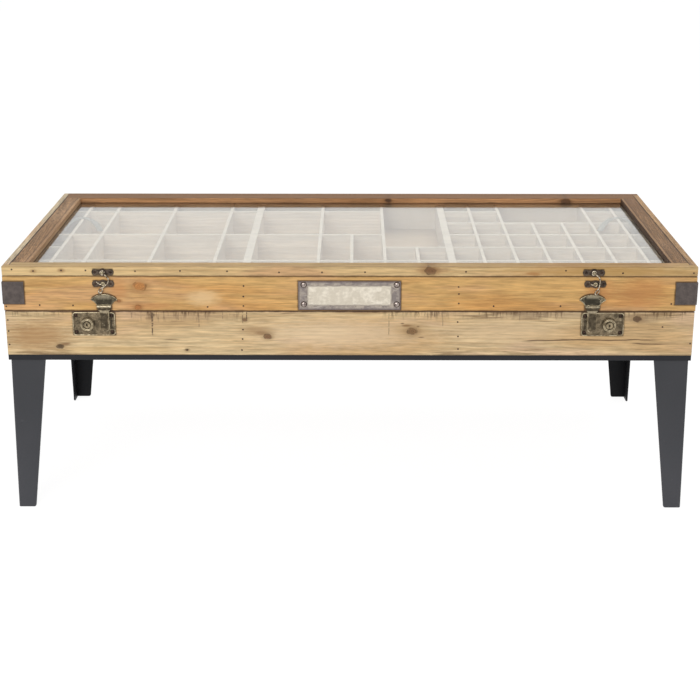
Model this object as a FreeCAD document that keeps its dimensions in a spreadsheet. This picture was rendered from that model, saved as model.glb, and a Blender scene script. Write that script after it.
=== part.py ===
import FreeCAD, Part
import math
import os
import Sketcher

# Display coffee table: a long pine case in two storeys under a glass lid, on a steel frame with four folded legs.
# Millimetres. X runs to the right along the table, the front faces -Y, Z is up. The origin lies on the floor
# under the middle of the table, whose front hardware and rear hinges stand out by the same amount.

SIZES = (
    ("table_length", 1220, "length of the lid and the upper case"),
    ("table_depth", 550, "depth of the cases, front face to rear face"),
    ("leg_height", 287.5, "floor to the lower edge of the steel frame"),
    ("frame_height", 10, "height of the steel frame's lip"),
    ("lower_height", 82.5, "steel frame to the lower seam"),
    ("upper_height", 64, "lower seam to the upper seam"),
    ("lid_height", 18, "upper seam to the top of the lid"),
    ("seam_gap", 0.4, "air between two storeys that open"),
    ("board_thickness", 12, "pine boards of the cases and the lid's rails"),
    ("lower_inset", 1, "the lower case is this much shorter at each end"),
    ("frame_inset", 1, "steel frame behind the faces of the upper case"),
    ("steel_thickness", 3, "sheet of the frame and the legs"),
    ("frame_flange", 45, "width of the frame's flat flange"),
    ("leg_inset_top", 4.2, "leg's outer faces behind the table's faces, under the frame"),
    ("leg_inset_foot", 0.5, "the same at the floor"),
    ("leg_width_top", 63, "width of a leg's two flanges, under the frame"),
    ("leg_width_foot", 31.5, "the same at the floor"),
    ("leg_fold_radius", 4, "outside radius of the leg's fold"),
    ("foot_radius", 4, "rounding of the foot's free corners"),
    ("lower_floor_thickness", 9, "floor board of the lower case"),
    ("tray_floor_thickness", 4, "floor of the upper case"),
    ("partition_thickness", 14, "thick partitions of both cases"),
    ("partition_offset", 187.5, "middle of a thick partition from the table's middle"),
    ("partition_headroom", 1.5, "lower partitions below the seam"),
    ("tray_headroom", 5, "tops of the tray's dividers below the seam"),
    ("divider_thickness", 6, "thin dividers of the tray"),
    ("divider_fit", 0.1, "air at the dividers' joints"),
    ("front_cell", 96, "front wall to the first row of dividers"),
    ("rear_cell", 66, "last row of dividers to the rear wall"),
    ("middle_pitch", 61.3, "spacing of the middle module's columns"),
    ("trim_width", 30.5, "flat frame boards round the glass, sides and rear"),
    ("front_trim_width", 14, "flat frame board in front of the glass"),
    ("trim_thickness", 10, "thickness of the frame boards round the glass"),
    ("glass_thickness", 4, "glass pane"),
    ("glass_lap", 11, "glass under the frame boards"),
    ("stop_setback", 1, "glass stops behind the edge of the frame boards"),
    ("corner_plate_size", 41, "height of a corner plate"),
    ("corner_plate_reach", 38.5, "corner plate along each face"),
    ("corner_plate_rise", 13, "corner plate above the lower seam"),
    ("corner_plate_thickness", 1.5, "sheet of a corner plate"),
    ("name_plate_length", 180, "blank name plate"),
    ("name_plate_height", 52.5, "height of the name plate"),
    ("name_plate_rise", 2.6, "name plate above the lower seam"),
    ("name_plate_thickness", 2, "thickness of the name plate at its border"),
    ("name_plate_side_border", 14, "border at the ends of the name plate"),
    ("name_plate_border", 7, "border above and below the bare panel"),
    ("name_plate_recess", 0.7, "depth of the bare panel"),
    ("latch_inset_left", 177.4, "middle of the left latch and hasp from the left end"),
    ("latch_inset_right", 182.2, "middle of the right latch and hasp from the right end"),
    ("lock_plate_length", 73.8, "plate of a trunk lock"),
    ("lock_plate_height", 41.5, "height of the lock plate"),
    ("lock_plate_thickness", 1.4, "sheet of the lock plate"),
    ("lock_plate_drop", 2.6, "lock plate below the lower seam"),
    ("lock_plate_inboard", 17.3, "middle of the hasp to the lock plate's inner end"),
    ("lock_plate_corner", 5, "corner radius of the lock plate"),
    ("lock_rim_width", 2.2, "raised rim round the lock plate"),
    ("lock_rim_height", 0.6, "height of that rim"),
    ("boss_offset", 31.3, "middle of the hasp to the middle of the key boss"),
    ("boss_drop", 21.4, "key boss below the top of the lock plate"),
    ("boss_radius", 12.4, "key boss"),
    ("boss_ring_radius", 10.6, "raised ring of the key boss"),
    ("boss_ring_width", 2, "width of that ring"),
    ("boss_height", 6.3, "front of the key plug before the lock plate"),
    ("plug_radius", 5.8, "key plug"),
    ("plug_clearance", 0.08, "air round the key plug"),
    ("keyway_width", 1.6, "slot of the keyway"),
    ("keyway_length", 5.6, "length of the keyway"),
    ("hasp_axis_rise", 9, "hasp pin above the lower seam"),
    ("hasp_knuckle_radius", 2.5, "barrel of the hasp's hinge"),
    ("hasp_knuckle_gap", 0.4, "barrels before the face that they turn past"),
    ("hasp_pin_radius", 1.2, "hasp pin"),
    ("hasp_barrel_width", 25, "hasp's hinge from end to end"),
    ("hasp_width", 21.5, "hasp at its shoulder"),
    ("hasp_tongue_width", 15.5, "hasp over the lock plate"),
    ("hasp_length", 46, "hasp pin to the tip of the hasp"),
    ("hasp_shoulder", 6, "hasp pin to the end of the shoulder"),
    ("hasp_thickness", 1.4, "sheet of the hasp"),
    ("hasp_emboss", 0.9, "height of the raised panel on the hasp"),
    ("hasp_emboss_width", 9, "width of that panel"),
    ("head_width", 46, "almond-shaped head of the hasp's hinge"),
    ("head_height", 22, "hasp pin to the top of the head"),
    ("head_tip_rise", 12.6, "hasp pin to the head's pointed ends"),
    ("head_foot_rise", 2.9, "hasp pin to the foot of the head"),
    ("head_thickness", 2, "thickness of the head"),
    ("latch_plate_length", 39, "plates of the hook latch"),
    ("latch_plate_height", 14.2, "height of those plates"),
    ("latch_plate_thickness", 1.4, "sheet of those plates"),
    ("latch_plate_corner", 3, "cut corners of those plates"),
    ("hook_pivot_drop", 10.3, "hook's pivot below the top of the lid"),
    ("keeper_drop", 13.3, "keeper's stud below the upper seam"),
    ("keeper_shift", 3.5, "right keeper further out than its hook plate"),
    ("stud_radius", 3.4, "keeper's stud"),
    ("stud_height", 1.7, "stud before its plate"),
    ("hook_stand_off", 2, "hook's wire before its plate"),
    ("hook_wire_radius", 1.4, "wire of the hook"),
    ("hook_eye_radius", 3.4, "hook's eye, to the middle of the wire"),
    ("hook_eye_clearance", 0.08, "air round the hook's rivet"),
    ("hook_reach", 10, "corner of the hook's bend beside the pivot"),
    ("hook_reach_drop", 11.5, "the same corner below the pivot"),
    ("hook_bend_radius", 8.2, "radius of the hook's bend"),
    ("hook_drop", 33.8, "middle of the hook's end loop below the pivot"),
    ("hook_end_shift_left", 5.2, "left hook's end ring to the left of its pivot"),
    ("hook_end_shift_right", 6.7, "right hook's end ring to the right of its pivot"),
    ("hook_loop_radius", 3.4, "hook's end loop, to the middle of the wire"),
    ("rivet_head_radius", 3.3, "head of the hook's rivet"),
    ("rivet_head_height", 1, "height of that head"),
    ("rivet_play", 0.2, "air along the rivet on both sides of the eye"),
    ("hinge_inset", 210, "middle of a rear hinge from the nearer end"),
    ("hinge_width", 50, "rear hinge from end to end"),
    ("hinge_leaf_height", 14, "leaf of a rear hinge"),
    ("hinge_leaf_thickness", 1.5, "sheet of that leaf"),
    ("hinge_knuckle_radius", 3.7, "barrel of a rear hinge"),
    ("hinge_knuckle_gap", 0.3, "barrel behind the rear faces"),
    ("hinge_play", 0.15, "air between neighbouring barrels"),
    ("hinge_pin_radius", 1.6, "pin of a rear hinge"),
    ("pin_clearance", 0.06, "air round a hinge pin"),
)

doc = FreeCAD.newDocument("coffee_table")
sheet = doc.addObject("Spreadsheet::Sheet", "Sizes")
for row, (alias, value, meaning) in enumerate(SIZES, start=1):
    sheet.set(f"A{row}", meaning)
    sheet.set(f"B{row}", str(value))
    sheet.setAlias(f"B{row}", alias)
doc.recompute()

# Levels and faces that several pieces share

HALF_LENGTH = "Sizes.table_length / 2"
HALF_DEPTH = "Sizes.table_depth / 2"
CASE_BASE = "(Sizes.leg_height + Sizes.frame_height)"
FLANGE_BASE = f"({CASE_BASE} - Sizes.steel_thickness)"
LOWER_TOP = f"({CASE_BASE} + Sizes.lower_height)"
UPPER_BASE = f"({LOWER_TOP} + Sizes.seam_gap)"
UPPER_TOP = f"({LOWER_TOP} + Sizes.upper_height)"
LID_BASE = f"({UPPER_TOP} + Sizes.seam_gap)"
LID_TOP = f"({UPPER_TOP} + Sizes.lid_height)"
INNER_LENGTH = f"({HALF_LENGTH} - Sizes.board_thickness)"
INNER_DEPTH = f"({HALF_DEPTH} - Sizes.board_thickness)"
LOWER_END = f"({HALF_LENGTH} - Sizes.lower_inset)"
DIVIDER_BASE = f"({UPPER_BASE} + Sizes.tray_floor_thickness)"
DIVIDER_TOP = f"({UPPER_TOP} - Sizes.tray_headroom)"
TRIM_BASE = f"({LID_TOP} - Sizes.trim_thickness)"
GLASS_BASE = f"({TRIM_BASE} - Sizes.glass_thickness)"


def number(expression):
    """The value that an expression has now, for code that needs a plain number."""
    return float(sheet.evalExpression(expression))


# Building blocks

def block(name, x_span, y_span, z_span):
    """A straight-sided block between two expressions on each axis."""
    part = doc.addObject("Part::Box", name)
    for side, axis, (low, high) in zip(("Length", "Width", "Height"), "xyz", (x_span, y_span, z_span)):
        part.setExpression(side, f"({high}) - ({low})")
        part.setExpression(f"Placement.Base.{axis}", f"{low}")
    return part


def rod(name, axis, radius, start, length, centre):
    """A round bar along X, Y or Z; start and length are along that axis, centre holds the other two places."""
    part = doc.addObject("Part::Cylinder", name)
    turns = {"x": (FreeCAD.Vector(0, 1, 0), 90), "y": (FreeCAD.Vector(1, 0, 0), -90), "z": (FreeCAD.Vector(0, 0, 1), 0)}
    part.Placement.Rotation = FreeCAD.Rotation(*turns[axis])
    part.setExpression("Radius", radius)
    part.setExpression("Height", length)
    others = [letter for letter in "xyz" if letter != axis]
    for letter, place in zip((axis, *others), (start, *centre)):
        part.setExpression(f"Placement.Base.{letter}", place)
    return part


def group(name, pieces):
    """Several separate solids under one name."""
    part = doc.addObject("Part::Compound", name)
    part.Links = pieces
    return part


def fuse(name, pieces):
    part = doc.addObject("Part::MultiFuse", name)
    part.Shapes = pieces
    return part


def cut(name, base, tools):
    part = doc.addObject("Part::Cut", name)
    part.Base = base
    part.Tool = tools[0] if len(tools) == 1 else fuse(f"{name}_tools", tools)
    return part


def mirror(name, source, normal):
    part = doc.addObject("Part::Mirroring", name)
    part.Source = source
    part.Normal = normal
    return part


def body(name):
    return doc.addObject("PartDesign::Body", name)


def sketch_on(solid, name, role, offset):
    """An empty sketch on one of the body's own planes, moved along that plane's normal."""
    sketch = solid.newObject("Sketcher::SketchObject", name)
    plane = next(item for item in solid.Origin.OriginFeatures if item.Role == role)
    sketch.AttachmentSupport = (plane, "")
    sketch.MapMode = "FlatFace"
    sketch.setExpression("AttachmentOffset.Base.z", offset)
    return sketch


def pin_point(sketch, geometry, end, place):
    """Fix a point of the sketch at a place given by two expressions."""
    for kind, expression in zip(("DistanceX", "DistanceY"), place):
        index = sketch.addConstraint(Sketcher.Constraint(kind, -1, 1, geometry, end, number(expression)))
        sketch.setExpression(f"Constraints[{index}]", expression)


def outline(sketch, corners):
    """A closed outline through corners (x, y, bulge); bulge is how far the side that follows bows out to its
    left, as an expression, or None for a straight side."""
    spots = [FreeCAD.Vector(number(x), number(y), 0) for x, y, _ in corners]
    ends = []
    for index, (x, y, bulge) in enumerate(corners):
        following = (index + 1) % len(corners)
        start, stop = spots[index], spots[following]
        if bulge is None:
            ends.append((sketch.addGeometry(Part.LineSegment(start, stop), False), 1, 2))
            continue
        bow = number(bulge)
        side = stop - start
        left = FreeCAD.Vector(-side.y, side.x, 0).normalize()
        reach = (side.Length ** 2 / 4 + bow ** 2) / (2 * abs(bow))
        centre = (start + stop) * 0.5 + left * (bow - math.copysign(reach, bow))
        first, last = (stop, start) if bow > 0 else (start, stop)
        angles = [math.atan2(spot.y - centre.y, spot.x - centre.x) for spot in (first, last)]
        ring = Part.Circle(centre, FreeCAD.Vector(0, 0, 1), reach)
        geometry = sketch.addGeometry(Part.ArcOfCircle(ring, *angles), False)
        ends.append((geometry, 2, 1) if bow > 0 else (geometry, 1, 2))
        next_x, next_y, _ = corners[following]
        chord = f"((({next_x}) - ({x}))^2 + (({next_y}) - ({y}))^2)"
        radius = f"({chord} / 4 + ({bulge})^2) / (2 * abs({bulge}))"
        rule = sketch.addConstraint(Sketcher.Constraint("Radius", geometry, number(radius)))
        sketch.setExpression(f"Constraints[{rule}]", radius)
    for index, (geometry, first, _) in enumerate(ends):
        before, _, last = ends[index - 1]
        sketch.addConstraint(Sketcher.Constraint("Coincident", before, last, geometry, first))
        pin_point(sketch, geometry, first, corners[index][:2])


def circle(sketch, centre, radius):
    geometry = sketch.addGeometry(Part.Circle(FreeCAD.Vector(), FreeCAD.Vector(0, 0, 1), number(radius)), False)
    index = sketch.addConstraint(Sketcher.Constraint("Radius", geometry, number(radius)))
    sketch.setExpression(f"Constraints[{index}]", radius)
    pin_point(sketch, geometry, 3, centre)


def rounded(x_span, y_span, radius):
    """Corners of a rectangle with rounded corners, for outline()."""
    (left, right), (low, high) = x_span, y_span
    bow = f"-({radius}) * (1 - cos(45))"
    near = [f"({left}) + ({radius})", f"({right}) - ({radius})", f"({low}) + ({radius})", f"({high}) - ({radius})"]
    return [
        (near[0], low, None), (near[1], low, bow), (right, near[2], None), (right, near[3], bow),
        (near[1], high, None), (near[0], high, bow), (left, near[3], None), (left, near[2], bow),
    ]


def pad(solid, name, start, length, draw, role="XZ_Plane"):
    """Extrude what draw(sketch) draws, from start, for length, along the plane's normal (-Y for XZ_Plane)."""
    sketch = sketch_on(solid, f"{name}_sketch", role, start)
    draw(sketch)
    feature = solid.newObject("PartDesign::Pad", name)
    feature.Profile = sketch
    feature.setExpression("Length", length)
    return feature


def pocket(solid, name, start, depth, draw, role="XZ_Plane"):
    """Cut what draw(sketch) draws, from start back against the plane's normal."""
    sketch = sketch_on(solid, f"{name}_sketch", role, start)
    draw(sketch)
    feature = solid.newObject("PartDesign::Pocket", name)
    feature.Profile = sketch
    feature.setExpression("Length", depth)
    return feature


NODES = []


def node(part, name):
    """Hand a finished piece in under its node name."""
    part.Label = name
    NODES.append(part)
    return part


# Legs: a folded sheet with two tapered flanges, and a gusset plate welded on at its head

def flange_wedge(solid, name, x_reach, y_reach):
    """One flange: a tapered plate standing on the floor; each reach is (at the foot, at the head)."""
    wedge = solid.newObject("PartDesign::AdditiveWedge", name)
    wedge.Placement.Rotation = FreeCAD.Rotation(FreeCAD.Vector(1, 0, 0), 90)
    ends = zip(("foot", "head"), (("Xmin", "Xmax", "Zmin", "Zmax"), ("X2min", "X2max", "Z2min", "Z2max")))
    for index, (_, (near_x, far_x, far_z, near_z)) in enumerate(ends):
        inset = ("Sizes.leg_inset_foot", "Sizes.leg_inset_top")[index]
        wedge.setExpression(near_x, f"-({HALF_LENGTH} - {inset})")
        wedge.setExpression(far_x, f"-({HALF_LENGTH} - {inset}) + {x_reach[index]}")
        wedge.setExpression(near_z, f"{HALF_DEPTH} - {inset}")
        wedge.setExpression(far_z, f"{HALF_DEPTH} - {inset} - {y_reach[index]}")
    wedge.setExpression("Ymin", "0")
    wedge.setExpression("Ymax", FLANGE_BASE)
    return wedge


def nearest_edge(shape, spot):
    """Name of the edge whose middle is nearest to a point."""
    edges = shape.Edges
    nearest = min(range(len(edges)), key=lambda index: (edges[index].CenterOfMass - spot).Length)
    return f"Edge{nearest + 1}"


def leg():
    solid = body("leg_front_left")
    skin = ("Sizes.steel_thickness", "Sizes.steel_thickness")
    wide = ("Sizes.leg_width_foot", "Sizes.leg_width_top")
    flange_wedge(solid, "front_flange", wide, skin)
    flange_wedge(solid, "side_flange", skin, wide)
    doc.recompute()
    folded = solid.Tip
    foot_corner, head_corner = (
        FreeCAD.Vector(-number(f"{HALF_LENGTH} - {inset}"), -number(f"{HALF_DEPTH} - {inset}"), number(level))
        for inset, level in (("Sizes.leg_inset_foot", "0"), ("Sizes.leg_inset_top", FLANGE_BASE)))
    fold = solid.newObject("PartDesign::Fillet", "leg_fold")
    fold.Base = (folded, [nearest_edge(folded.Shape, (foot_corner + head_corner) * 0.5)])
    fold.setExpression("Radius", "Sizes.leg_fold_radius")
    doc.recompute()
    free, middle = number("Sizes.leg_width_foot"), number("Sizes.steel_thickness / 2")
    toe_spots = [foot_corner + FreeCAD.Vector(free, middle, 0), foot_corner + FreeCAD.Vector(middle, free, 0)]
    toes = solid.newObject("PartDesign::Fillet", "leg_toes")
    toes.Base = (fold, [nearest_edge(fold.Shape, spot) for spot in toe_spots])
    toes.setExpression("Radius", "Sizes.foot_radius")
    solid.Tip = toes
    doc.recompute()
    left = f"-({HALF_LENGTH} - Sizes.leg_inset_top - Sizes.steel_thickness)"
    front = f"-({HALF_DEPTH} - Sizes.leg_inset_top - Sizes.steel_thickness)"
    reach = "(Sizes.leg_width_top - 2 * Sizes.steel_thickness)"
    nose = "Sizes.leg_width_top * 0.3"
    pad(solid, "leg_gusset", f"{FLANGE_BASE} - Sizes.steel_thickness", "Sizes.steel_thickness", lambda sketch: outline(
        sketch, [
            (f"{left} - 1", f"{front} - 1", None), (f"{left} + {reach}", f"{front} - 1", None),
            (f"{left} + {reach}", f"{front} + {nose}", None), (f"{left} + {nose}", f"{front} + {reach}", None),
            (f"{left} - 1", f"{front} + {reach}", None),
        ]), role="XY_Plane")
    return node(solid, "leg_front_left")


front_left = leg()
front_right = node(mirror("leg_front_right", front_left, FreeCAD.Vector(1, 0, 0)), "leg_front_right")
node(mirror("leg_rear_left", front_left, FreeCAD.Vector(0, 1, 0)), "leg_rear_left")
node(mirror("leg_rear_right", front_right, FreeCAD.Vector(0, 1, 0)), "leg_rear_right")

# Steel frame: an angle ring, its flange under the case and its lip turned down

FRAME_LONG = f"({HALF_LENGTH} - Sizes.frame_inset)"
FRAME_DEEP = f"({HALF_DEPTH} - Sizes.frame_inset)"


def ring_block(name, inward, z_span):
    x = f"({FRAME_LONG} - {inward})"
    y = f"({FRAME_DEEP} - {inward})"
    return block(name, (f"-{x}", x), (f"-{y}", y), z_span)


frame_blank = ring_block("frame_blank", "0", ("Sizes.leg_height", CASE_BASE))
frame_opening = ring_block("frame_opening", "Sizes.frame_flange", (f"{FLANGE_BASE} - 1", f"{CASE_BASE} + 1"))
frame_hollow = ring_block("frame_hollow", "Sizes.steel_thickness", ("Sizes.leg_height - 1", FLANGE_BASE))
node(cut("steel_frame", frame_blank, [frame_opening, frame_hollow]), "steel_frame")

# Cases and lid: four boards each, front and rear boards over the ends of the side boards

def four_boards(prefix, kind, long_half, base, top):
    inner = f"({long_half} - Sizes.board_thickness)"
    spans = {
        "front": ((f"-{long_half}", long_half), (f"-{HALF_DEPTH}", f"-{INNER_DEPTH}")),
        "rear": ((f"-{long_half}", long_half), (INNER_DEPTH, HALF_DEPTH)),
        "left": ((f"-{long_half}", f"-{inner}"), (f"-{INNER_DEPTH}", INNER_DEPTH)),
        "right": ((inner, long_half), (f"-{INNER_DEPTH}", INNER_DEPTH)),
    }
    for place, (x_span, y_span) in spans.items():
        name = f"{prefix}_{place}_{kind}"
        node(block(name, x_span, y_span, (base, top)), name)


four_boards("lower", "board", LOWER_END, CASE_BASE, LOWER_TOP)
four_boards("upper", "board", f"({HALF_LENGTH})", UPPER_BASE, UPPER_TOP)
four_boards("lid", "rail", f"({HALF_LENGTH})", LID_BASE, LID_TOP)

lower_inner = f"({LOWER_END} - Sizes.board_thickness)"
node(block("lower_floor", (f"-{lower_inner}", lower_inner), (f"-{INNER_DEPTH}", INNER_DEPTH),
           (CASE_BASE, f"{CASE_BASE} + Sizes.lower_floor_thickness")), "lower_floor")
node(block("tray_floor", (f"-{INNER_LENGTH}", INNER_LENGTH), (f"-{INNER_DEPTH}", INNER_DEPTH),
           (UPPER_BASE, DIVIDER_BASE)), "tray_floor")

for storey, base, top in (
        ("lower", f"{CASE_BASE} + Sizes.lower_floor_thickness", f"{LOWER_TOP} - Sizes.partition_headroom"),
        ("tray", DIVIDER_BASE, DIVIDER_TOP)):
    for place, middle in (("left", "-Sizes.partition_offset"), ("right", "Sizes.partition_offset")):
        name = f"{storey}_partition_{place}"
        half = "Sizes.partition_thickness / 2"
        node(block(name, (f"{middle} - {half}", f"{middle} + {half}"), (f"-{INNER_DEPTH}", INNER_DEPTH),
                   (base, top)), name)

# Tray dividers: thin plates that cross in half-lap joints, columns slotted from below and rows from above

FRONT_WALL, REAR_WALL = "front", "rear"
ROW_PITCH = f"((2 * {INNER_DEPTH} - Sizes.front_cell - Sizes.rear_cell) / 4)"
OUTER_PITCH = f"(({INNER_LENGTH} + Sizes.divider_thickness - Sizes.partition_offset) / 7)"
PARTITION_FACE = "(Sizes.partition_offset - Sizes.partition_thickness / 2)"
PARTITION_OUTER = "(Sizes.partition_offset + Sizes.partition_thickness / 2)"
HALF_DIVIDER = "Sizes.divider_thickness / 2"
LAP_LEVEL = f"(({DIVIDER_BASE} + {DIVIDER_TOP}) / 2)"


def row_place(row):
    return f"(-{INNER_DEPTH} + Sizes.front_cell + {row} * {ROW_PITCH})"


def divider_module(name, columns, rows, walls):
    """columns maps a column to (x, first row, last row); rows lists (row, left end, right end). An end is a row,
    a column or a wall; walls gives the x of the module's left and right walls."""

    def depth_end(end, into):
        if end == FRONT_WALL:
            return f"-{INNER_DEPTH} + Sizes.divider_fit"
        if end == REAR_WALL:
            return f"{INNER_DEPTH} - Sizes.divider_fit"
        return f"{row_place(end)} {into} ({HALF_DIVIDER} + Sizes.divider_fit)"

    def side_end(end, into):
        if end in walls:
            return f"{walls[end]} {into} Sizes.divider_fit"
        return f"{columns[end][0]} {into} ({HALF_DIVIDER} + Sizes.divider_fit)"

    column_plates, column_slots, row_plates, row_slots = [], [], [], []
    half_slot = f"({HALF_DIVIDER} + Sizes.divider_fit)"
    for column, (x, first, last) in columns.items():
        y_span = (depth_end(first, "+"), depth_end(last, "-"))
        column_plates.append(block(f"{name}_column_{column}", (f"{x} - {HALF_DIVIDER}", f"{x} + {HALF_DIVIDER}"),
                                   y_span, (DIVIDER_BASE, DIVIDER_TOP)))
        column_slots.append(block(f"{name}_column_slot_{column}", (f"{x} - {half_slot}", f"{x} + {half_slot}"),
                                  y_span, (f"{LAP_LEVEL} - Sizes.divider_fit", f"{DIVIDER_TOP} + 1")))
    for row, left, right in rows:
        y = row_place(row)
        x_span = (side_end(left, "+"), side_end(right, "-"))
        tag = f"{row}_{len(row_plates)}"
        row_plates.append(block(f"{name}_row_{tag}", x_span, (f"{y} - {HALF_DIVIDER}", f"{y} + {HALF_DIVIDER}"),
                                (DIVIDER_BASE, DIVIDER_TOP)))
        row_slots.append(block(f"{name}_row_slot_{tag}", x_span, (f"{y} - {half_slot}", f"{y} + {half_slot}"),
                               (f"{DIVIDER_BASE} - 1", f"{LAP_LEVEL} + Sizes.divider_fit")))
    slotted_columns = cut(f"{name}_slotted_columns", group(f"{name}_columns", column_plates), row_slots)
    slotted_rows = cut(f"{name}_slotted_rows", group(f"{name}_rows", row_plates), column_slots)
    return node(group(name, [slotted_columns, slotted_rows]), name)


def outer_column(side, step):
    return f"{side}(Sizes.partition_offset + {step} * {OUTER_PITCH})"


def middle_column(step):
    return f"(Sizes.partition_offset - {step} * Sizes.middle_pitch)"


divider_module(
    "dividers_left",
    {step: (outer_column("-", step), FRONT_WALL, REAR_WALL) for step in (1, 3, 5, 6)},
    [(0, "wall", "partition"), (1, "wall", 6), (2, "wall", "partition"), (4, "wall", "partition")],
    {"wall": f"-{INNER_LENGTH}", "partition": f"-{PARTITION_OUTER}"})
divider_module(
    "dividers_middle",
    {1: (middle_column(1), FRONT_WALL, 1), 2: (middle_column(2), FRONT_WALL, REAR_WALL),
     3: (middle_column(3), FRONT_WALL, 2), 4: (middle_column(4), FRONT_WALL, REAR_WALL)},
    [(0, "left", "right"), (1, 2, "right"), (2, "left", 2), (4, "left", 2)],
    {"left": f"-{PARTITION_FACE}", "right": PARTITION_FACE})
divider_module(
    "dividers_right",
    {step: (outer_column("", step), FRONT_WALL, 3 if step in (3, 4) else REAR_WALL) for step in range(1, 7)},
    [(row, "partition", "wall") for row in range(4)] + [(4, "partition", 2), (4, 5, "wall")],
    {"partition": PARTITION_OUTER, "wall": INNER_LENGTH})

# Lid: flat frame boards round the glass, the pane under them and stops under the pane

TRIM_SIDE = f"({INNER_LENGTH} - Sizes.trim_width)"
TRIM_REAR = f"({INNER_DEPTH} - Sizes.trim_width)"
TRIM_FRONT = f"({INNER_DEPTH} - Sizes.front_trim_width)"

node(block("lid_front_trim", (f"-{INNER_LENGTH}", INNER_LENGTH), (f"-{INNER_DEPTH}", f"-{TRIM_FRONT}"),
           (TRIM_BASE, LID_TOP)), "lid_front_trim")
node(block("lid_rear_trim", (f"-{INNER_LENGTH}", INNER_LENGTH), (TRIM_REAR, INNER_DEPTH), (TRIM_BASE, LID_TOP)),
     "lid_rear_trim")
node(block("lid_left_trim", (f"-{INNER_LENGTH}", f"-{TRIM_SIDE}"), (f"-{TRIM_FRONT}", TRIM_REAR),
           (TRIM_BASE, LID_TOP)), "lid_left_trim")
node(block("lid_right_trim", (TRIM_SIDE, INNER_LENGTH), (f"-{TRIM_FRONT}", TRIM_REAR), (TRIM_BASE, LID_TOP)),
     "lid_right_trim")
glass_half = f"({TRIM_SIDE} + Sizes.glass_lap)"
node(block("glass_pane", (f"-{glass_half}", glass_half),
           (f"-({TRIM_FRONT} + Sizes.glass_lap)", f"{TRIM_REAR} + Sizes.glass_lap"), (GLASS_BASE, TRIM_BASE)),
     "glass_pane")
stop_side = f"({TRIM_SIDE} + Sizes.stop_setback)"
stop_front = f"({TRIM_FRONT} + Sizes.stop_setback)"
stop_rear = f"({TRIM_REAR} + Sizes.stop_setback)"
stop_level = (LID_BASE, GLASS_BASE)
glass_stops = [
    block("stop_front", (f"-{INNER_LENGTH}", INNER_LENGTH), (f"-{INNER_DEPTH}", f"-{stop_front}"), stop_level),
    block("stop_rear", (f"-{INNER_LENGTH}", INNER_LENGTH), (stop_rear, INNER_DEPTH), stop_level),
    block("stop_left", (f"-{INNER_LENGTH}", f"-{stop_side}"), (f"-{stop_front}", stop_rear), stop_level),
    block("stop_right", (stop_side, INNER_LENGTH), (f"-{stop_front}", stop_rear), stop_level),
]
node(group("glass_stops", glass_stops), "glass_stops")

# Corner plates: thin angles let round the corners of the upper case

plate_base = f"({LOWER_TOP} + Sizes.corner_plate_rise)"
plate_levels = (plate_base, f"{plate_base} + Sizes.corner_plate_size")
plate_reach = "(Sizes.corner_plate_reach - Sizes.corner_plate_thickness)"
plate_blank = block(
    "corner_plate_blank", (f"-({HALF_LENGTH} + Sizes.corner_plate_thickness)", f"-({HALF_LENGTH} - {plate_reach})"),
    (f"-({HALF_DEPTH} + Sizes.corner_plate_thickness)", f"-({HALF_DEPTH} - {plate_reach})"), plate_levels)
plate_hollow = block(
    "corner_plate_hollow", (f"-{HALF_LENGTH}", f"-({HALF_LENGTH} - {plate_reach} - 1)"),
    (f"-{HALF_DEPTH}", f"-({HALF_DEPTH} - {plate_reach} - 1)"), (f"{plate_levels[0]} - 1", f"{plate_levels[1]} + 1"))
plate_left = cut("corner_plate_front_left", plate_blank, [plate_hollow])
plate_right = mirror("corner_plate_front_right", plate_left, FreeCAD.Vector(1, 0, 0))
front_plates = node(group("front_corner_plates", [plate_left, plate_right]), "front_corner_plates")
node(mirror("rear_corner_plates", front_plates, FreeCAD.Vector(0, 1, 0)), "rear_corner_plates")

# Name plate, bare: a raised border round a sunk panel

name_low = f"({UPPER_BASE} + Sizes.name_plate_rise)"
name_high = f"({name_low} + Sizes.name_plate_height)"
name_half = "(Sizes.name_plate_length / 2)"
panel_half = f"({name_half} - Sizes.name_plate_side_border)"
name_sheet = block("name_plate_sheet", (f"-{name_half}", name_half),
                   (f"-({HALF_DEPTH} + Sizes.name_plate_thickness)", f"-{HALF_DEPTH}"), (name_low, name_high))
name_panel = block(
    "name_plate_panel", (f"-{panel_half}", panel_half),
    (f"-({HALF_DEPTH} + Sizes.name_plate_thickness + 1)",
     f"-({HALF_DEPTH} + Sizes.name_plate_thickness - Sizes.name_plate_recess)"),
    (f"{name_low} + Sizes.name_plate_border", f"{name_high} - Sizes.name_plate_border"))
node(cut("name_plate", name_sheet, [name_panel]), "name_plate")

# Trunk locks: plate with key boss and plug below the seam, hinged hasp above it

LOCK_TOP = f"({LOWER_TOP} - Sizes.lock_plate_drop)"
LOCK_LOW = f"({LOCK_TOP} - Sizes.lock_plate_height)"
LOCK_FACE = f"({HALF_DEPTH} + Sizes.lock_plate_thickness)"
BOSS_LEVEL = f"({LOCK_TOP} - Sizes.boss_drop)"
HASP_AXIS = f"({LOWER_TOP} + Sizes.hasp_axis_rise)"
HEAD_BARREL = "(Sizes.hasp_barrel_width * 0.2)"
HASP_FRONT = f"({HALF_DEPTH} + Sizes.hasp_knuckle_gap + Sizes.hasp_knuckle_radius)"
SIDES = {"left": (f"-({HALF_LENGTH} - Sizes.latch_inset_left)", "-"),
         "right": (f"({HALF_LENGTH} - Sizes.latch_inset_right)", "+")}


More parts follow.
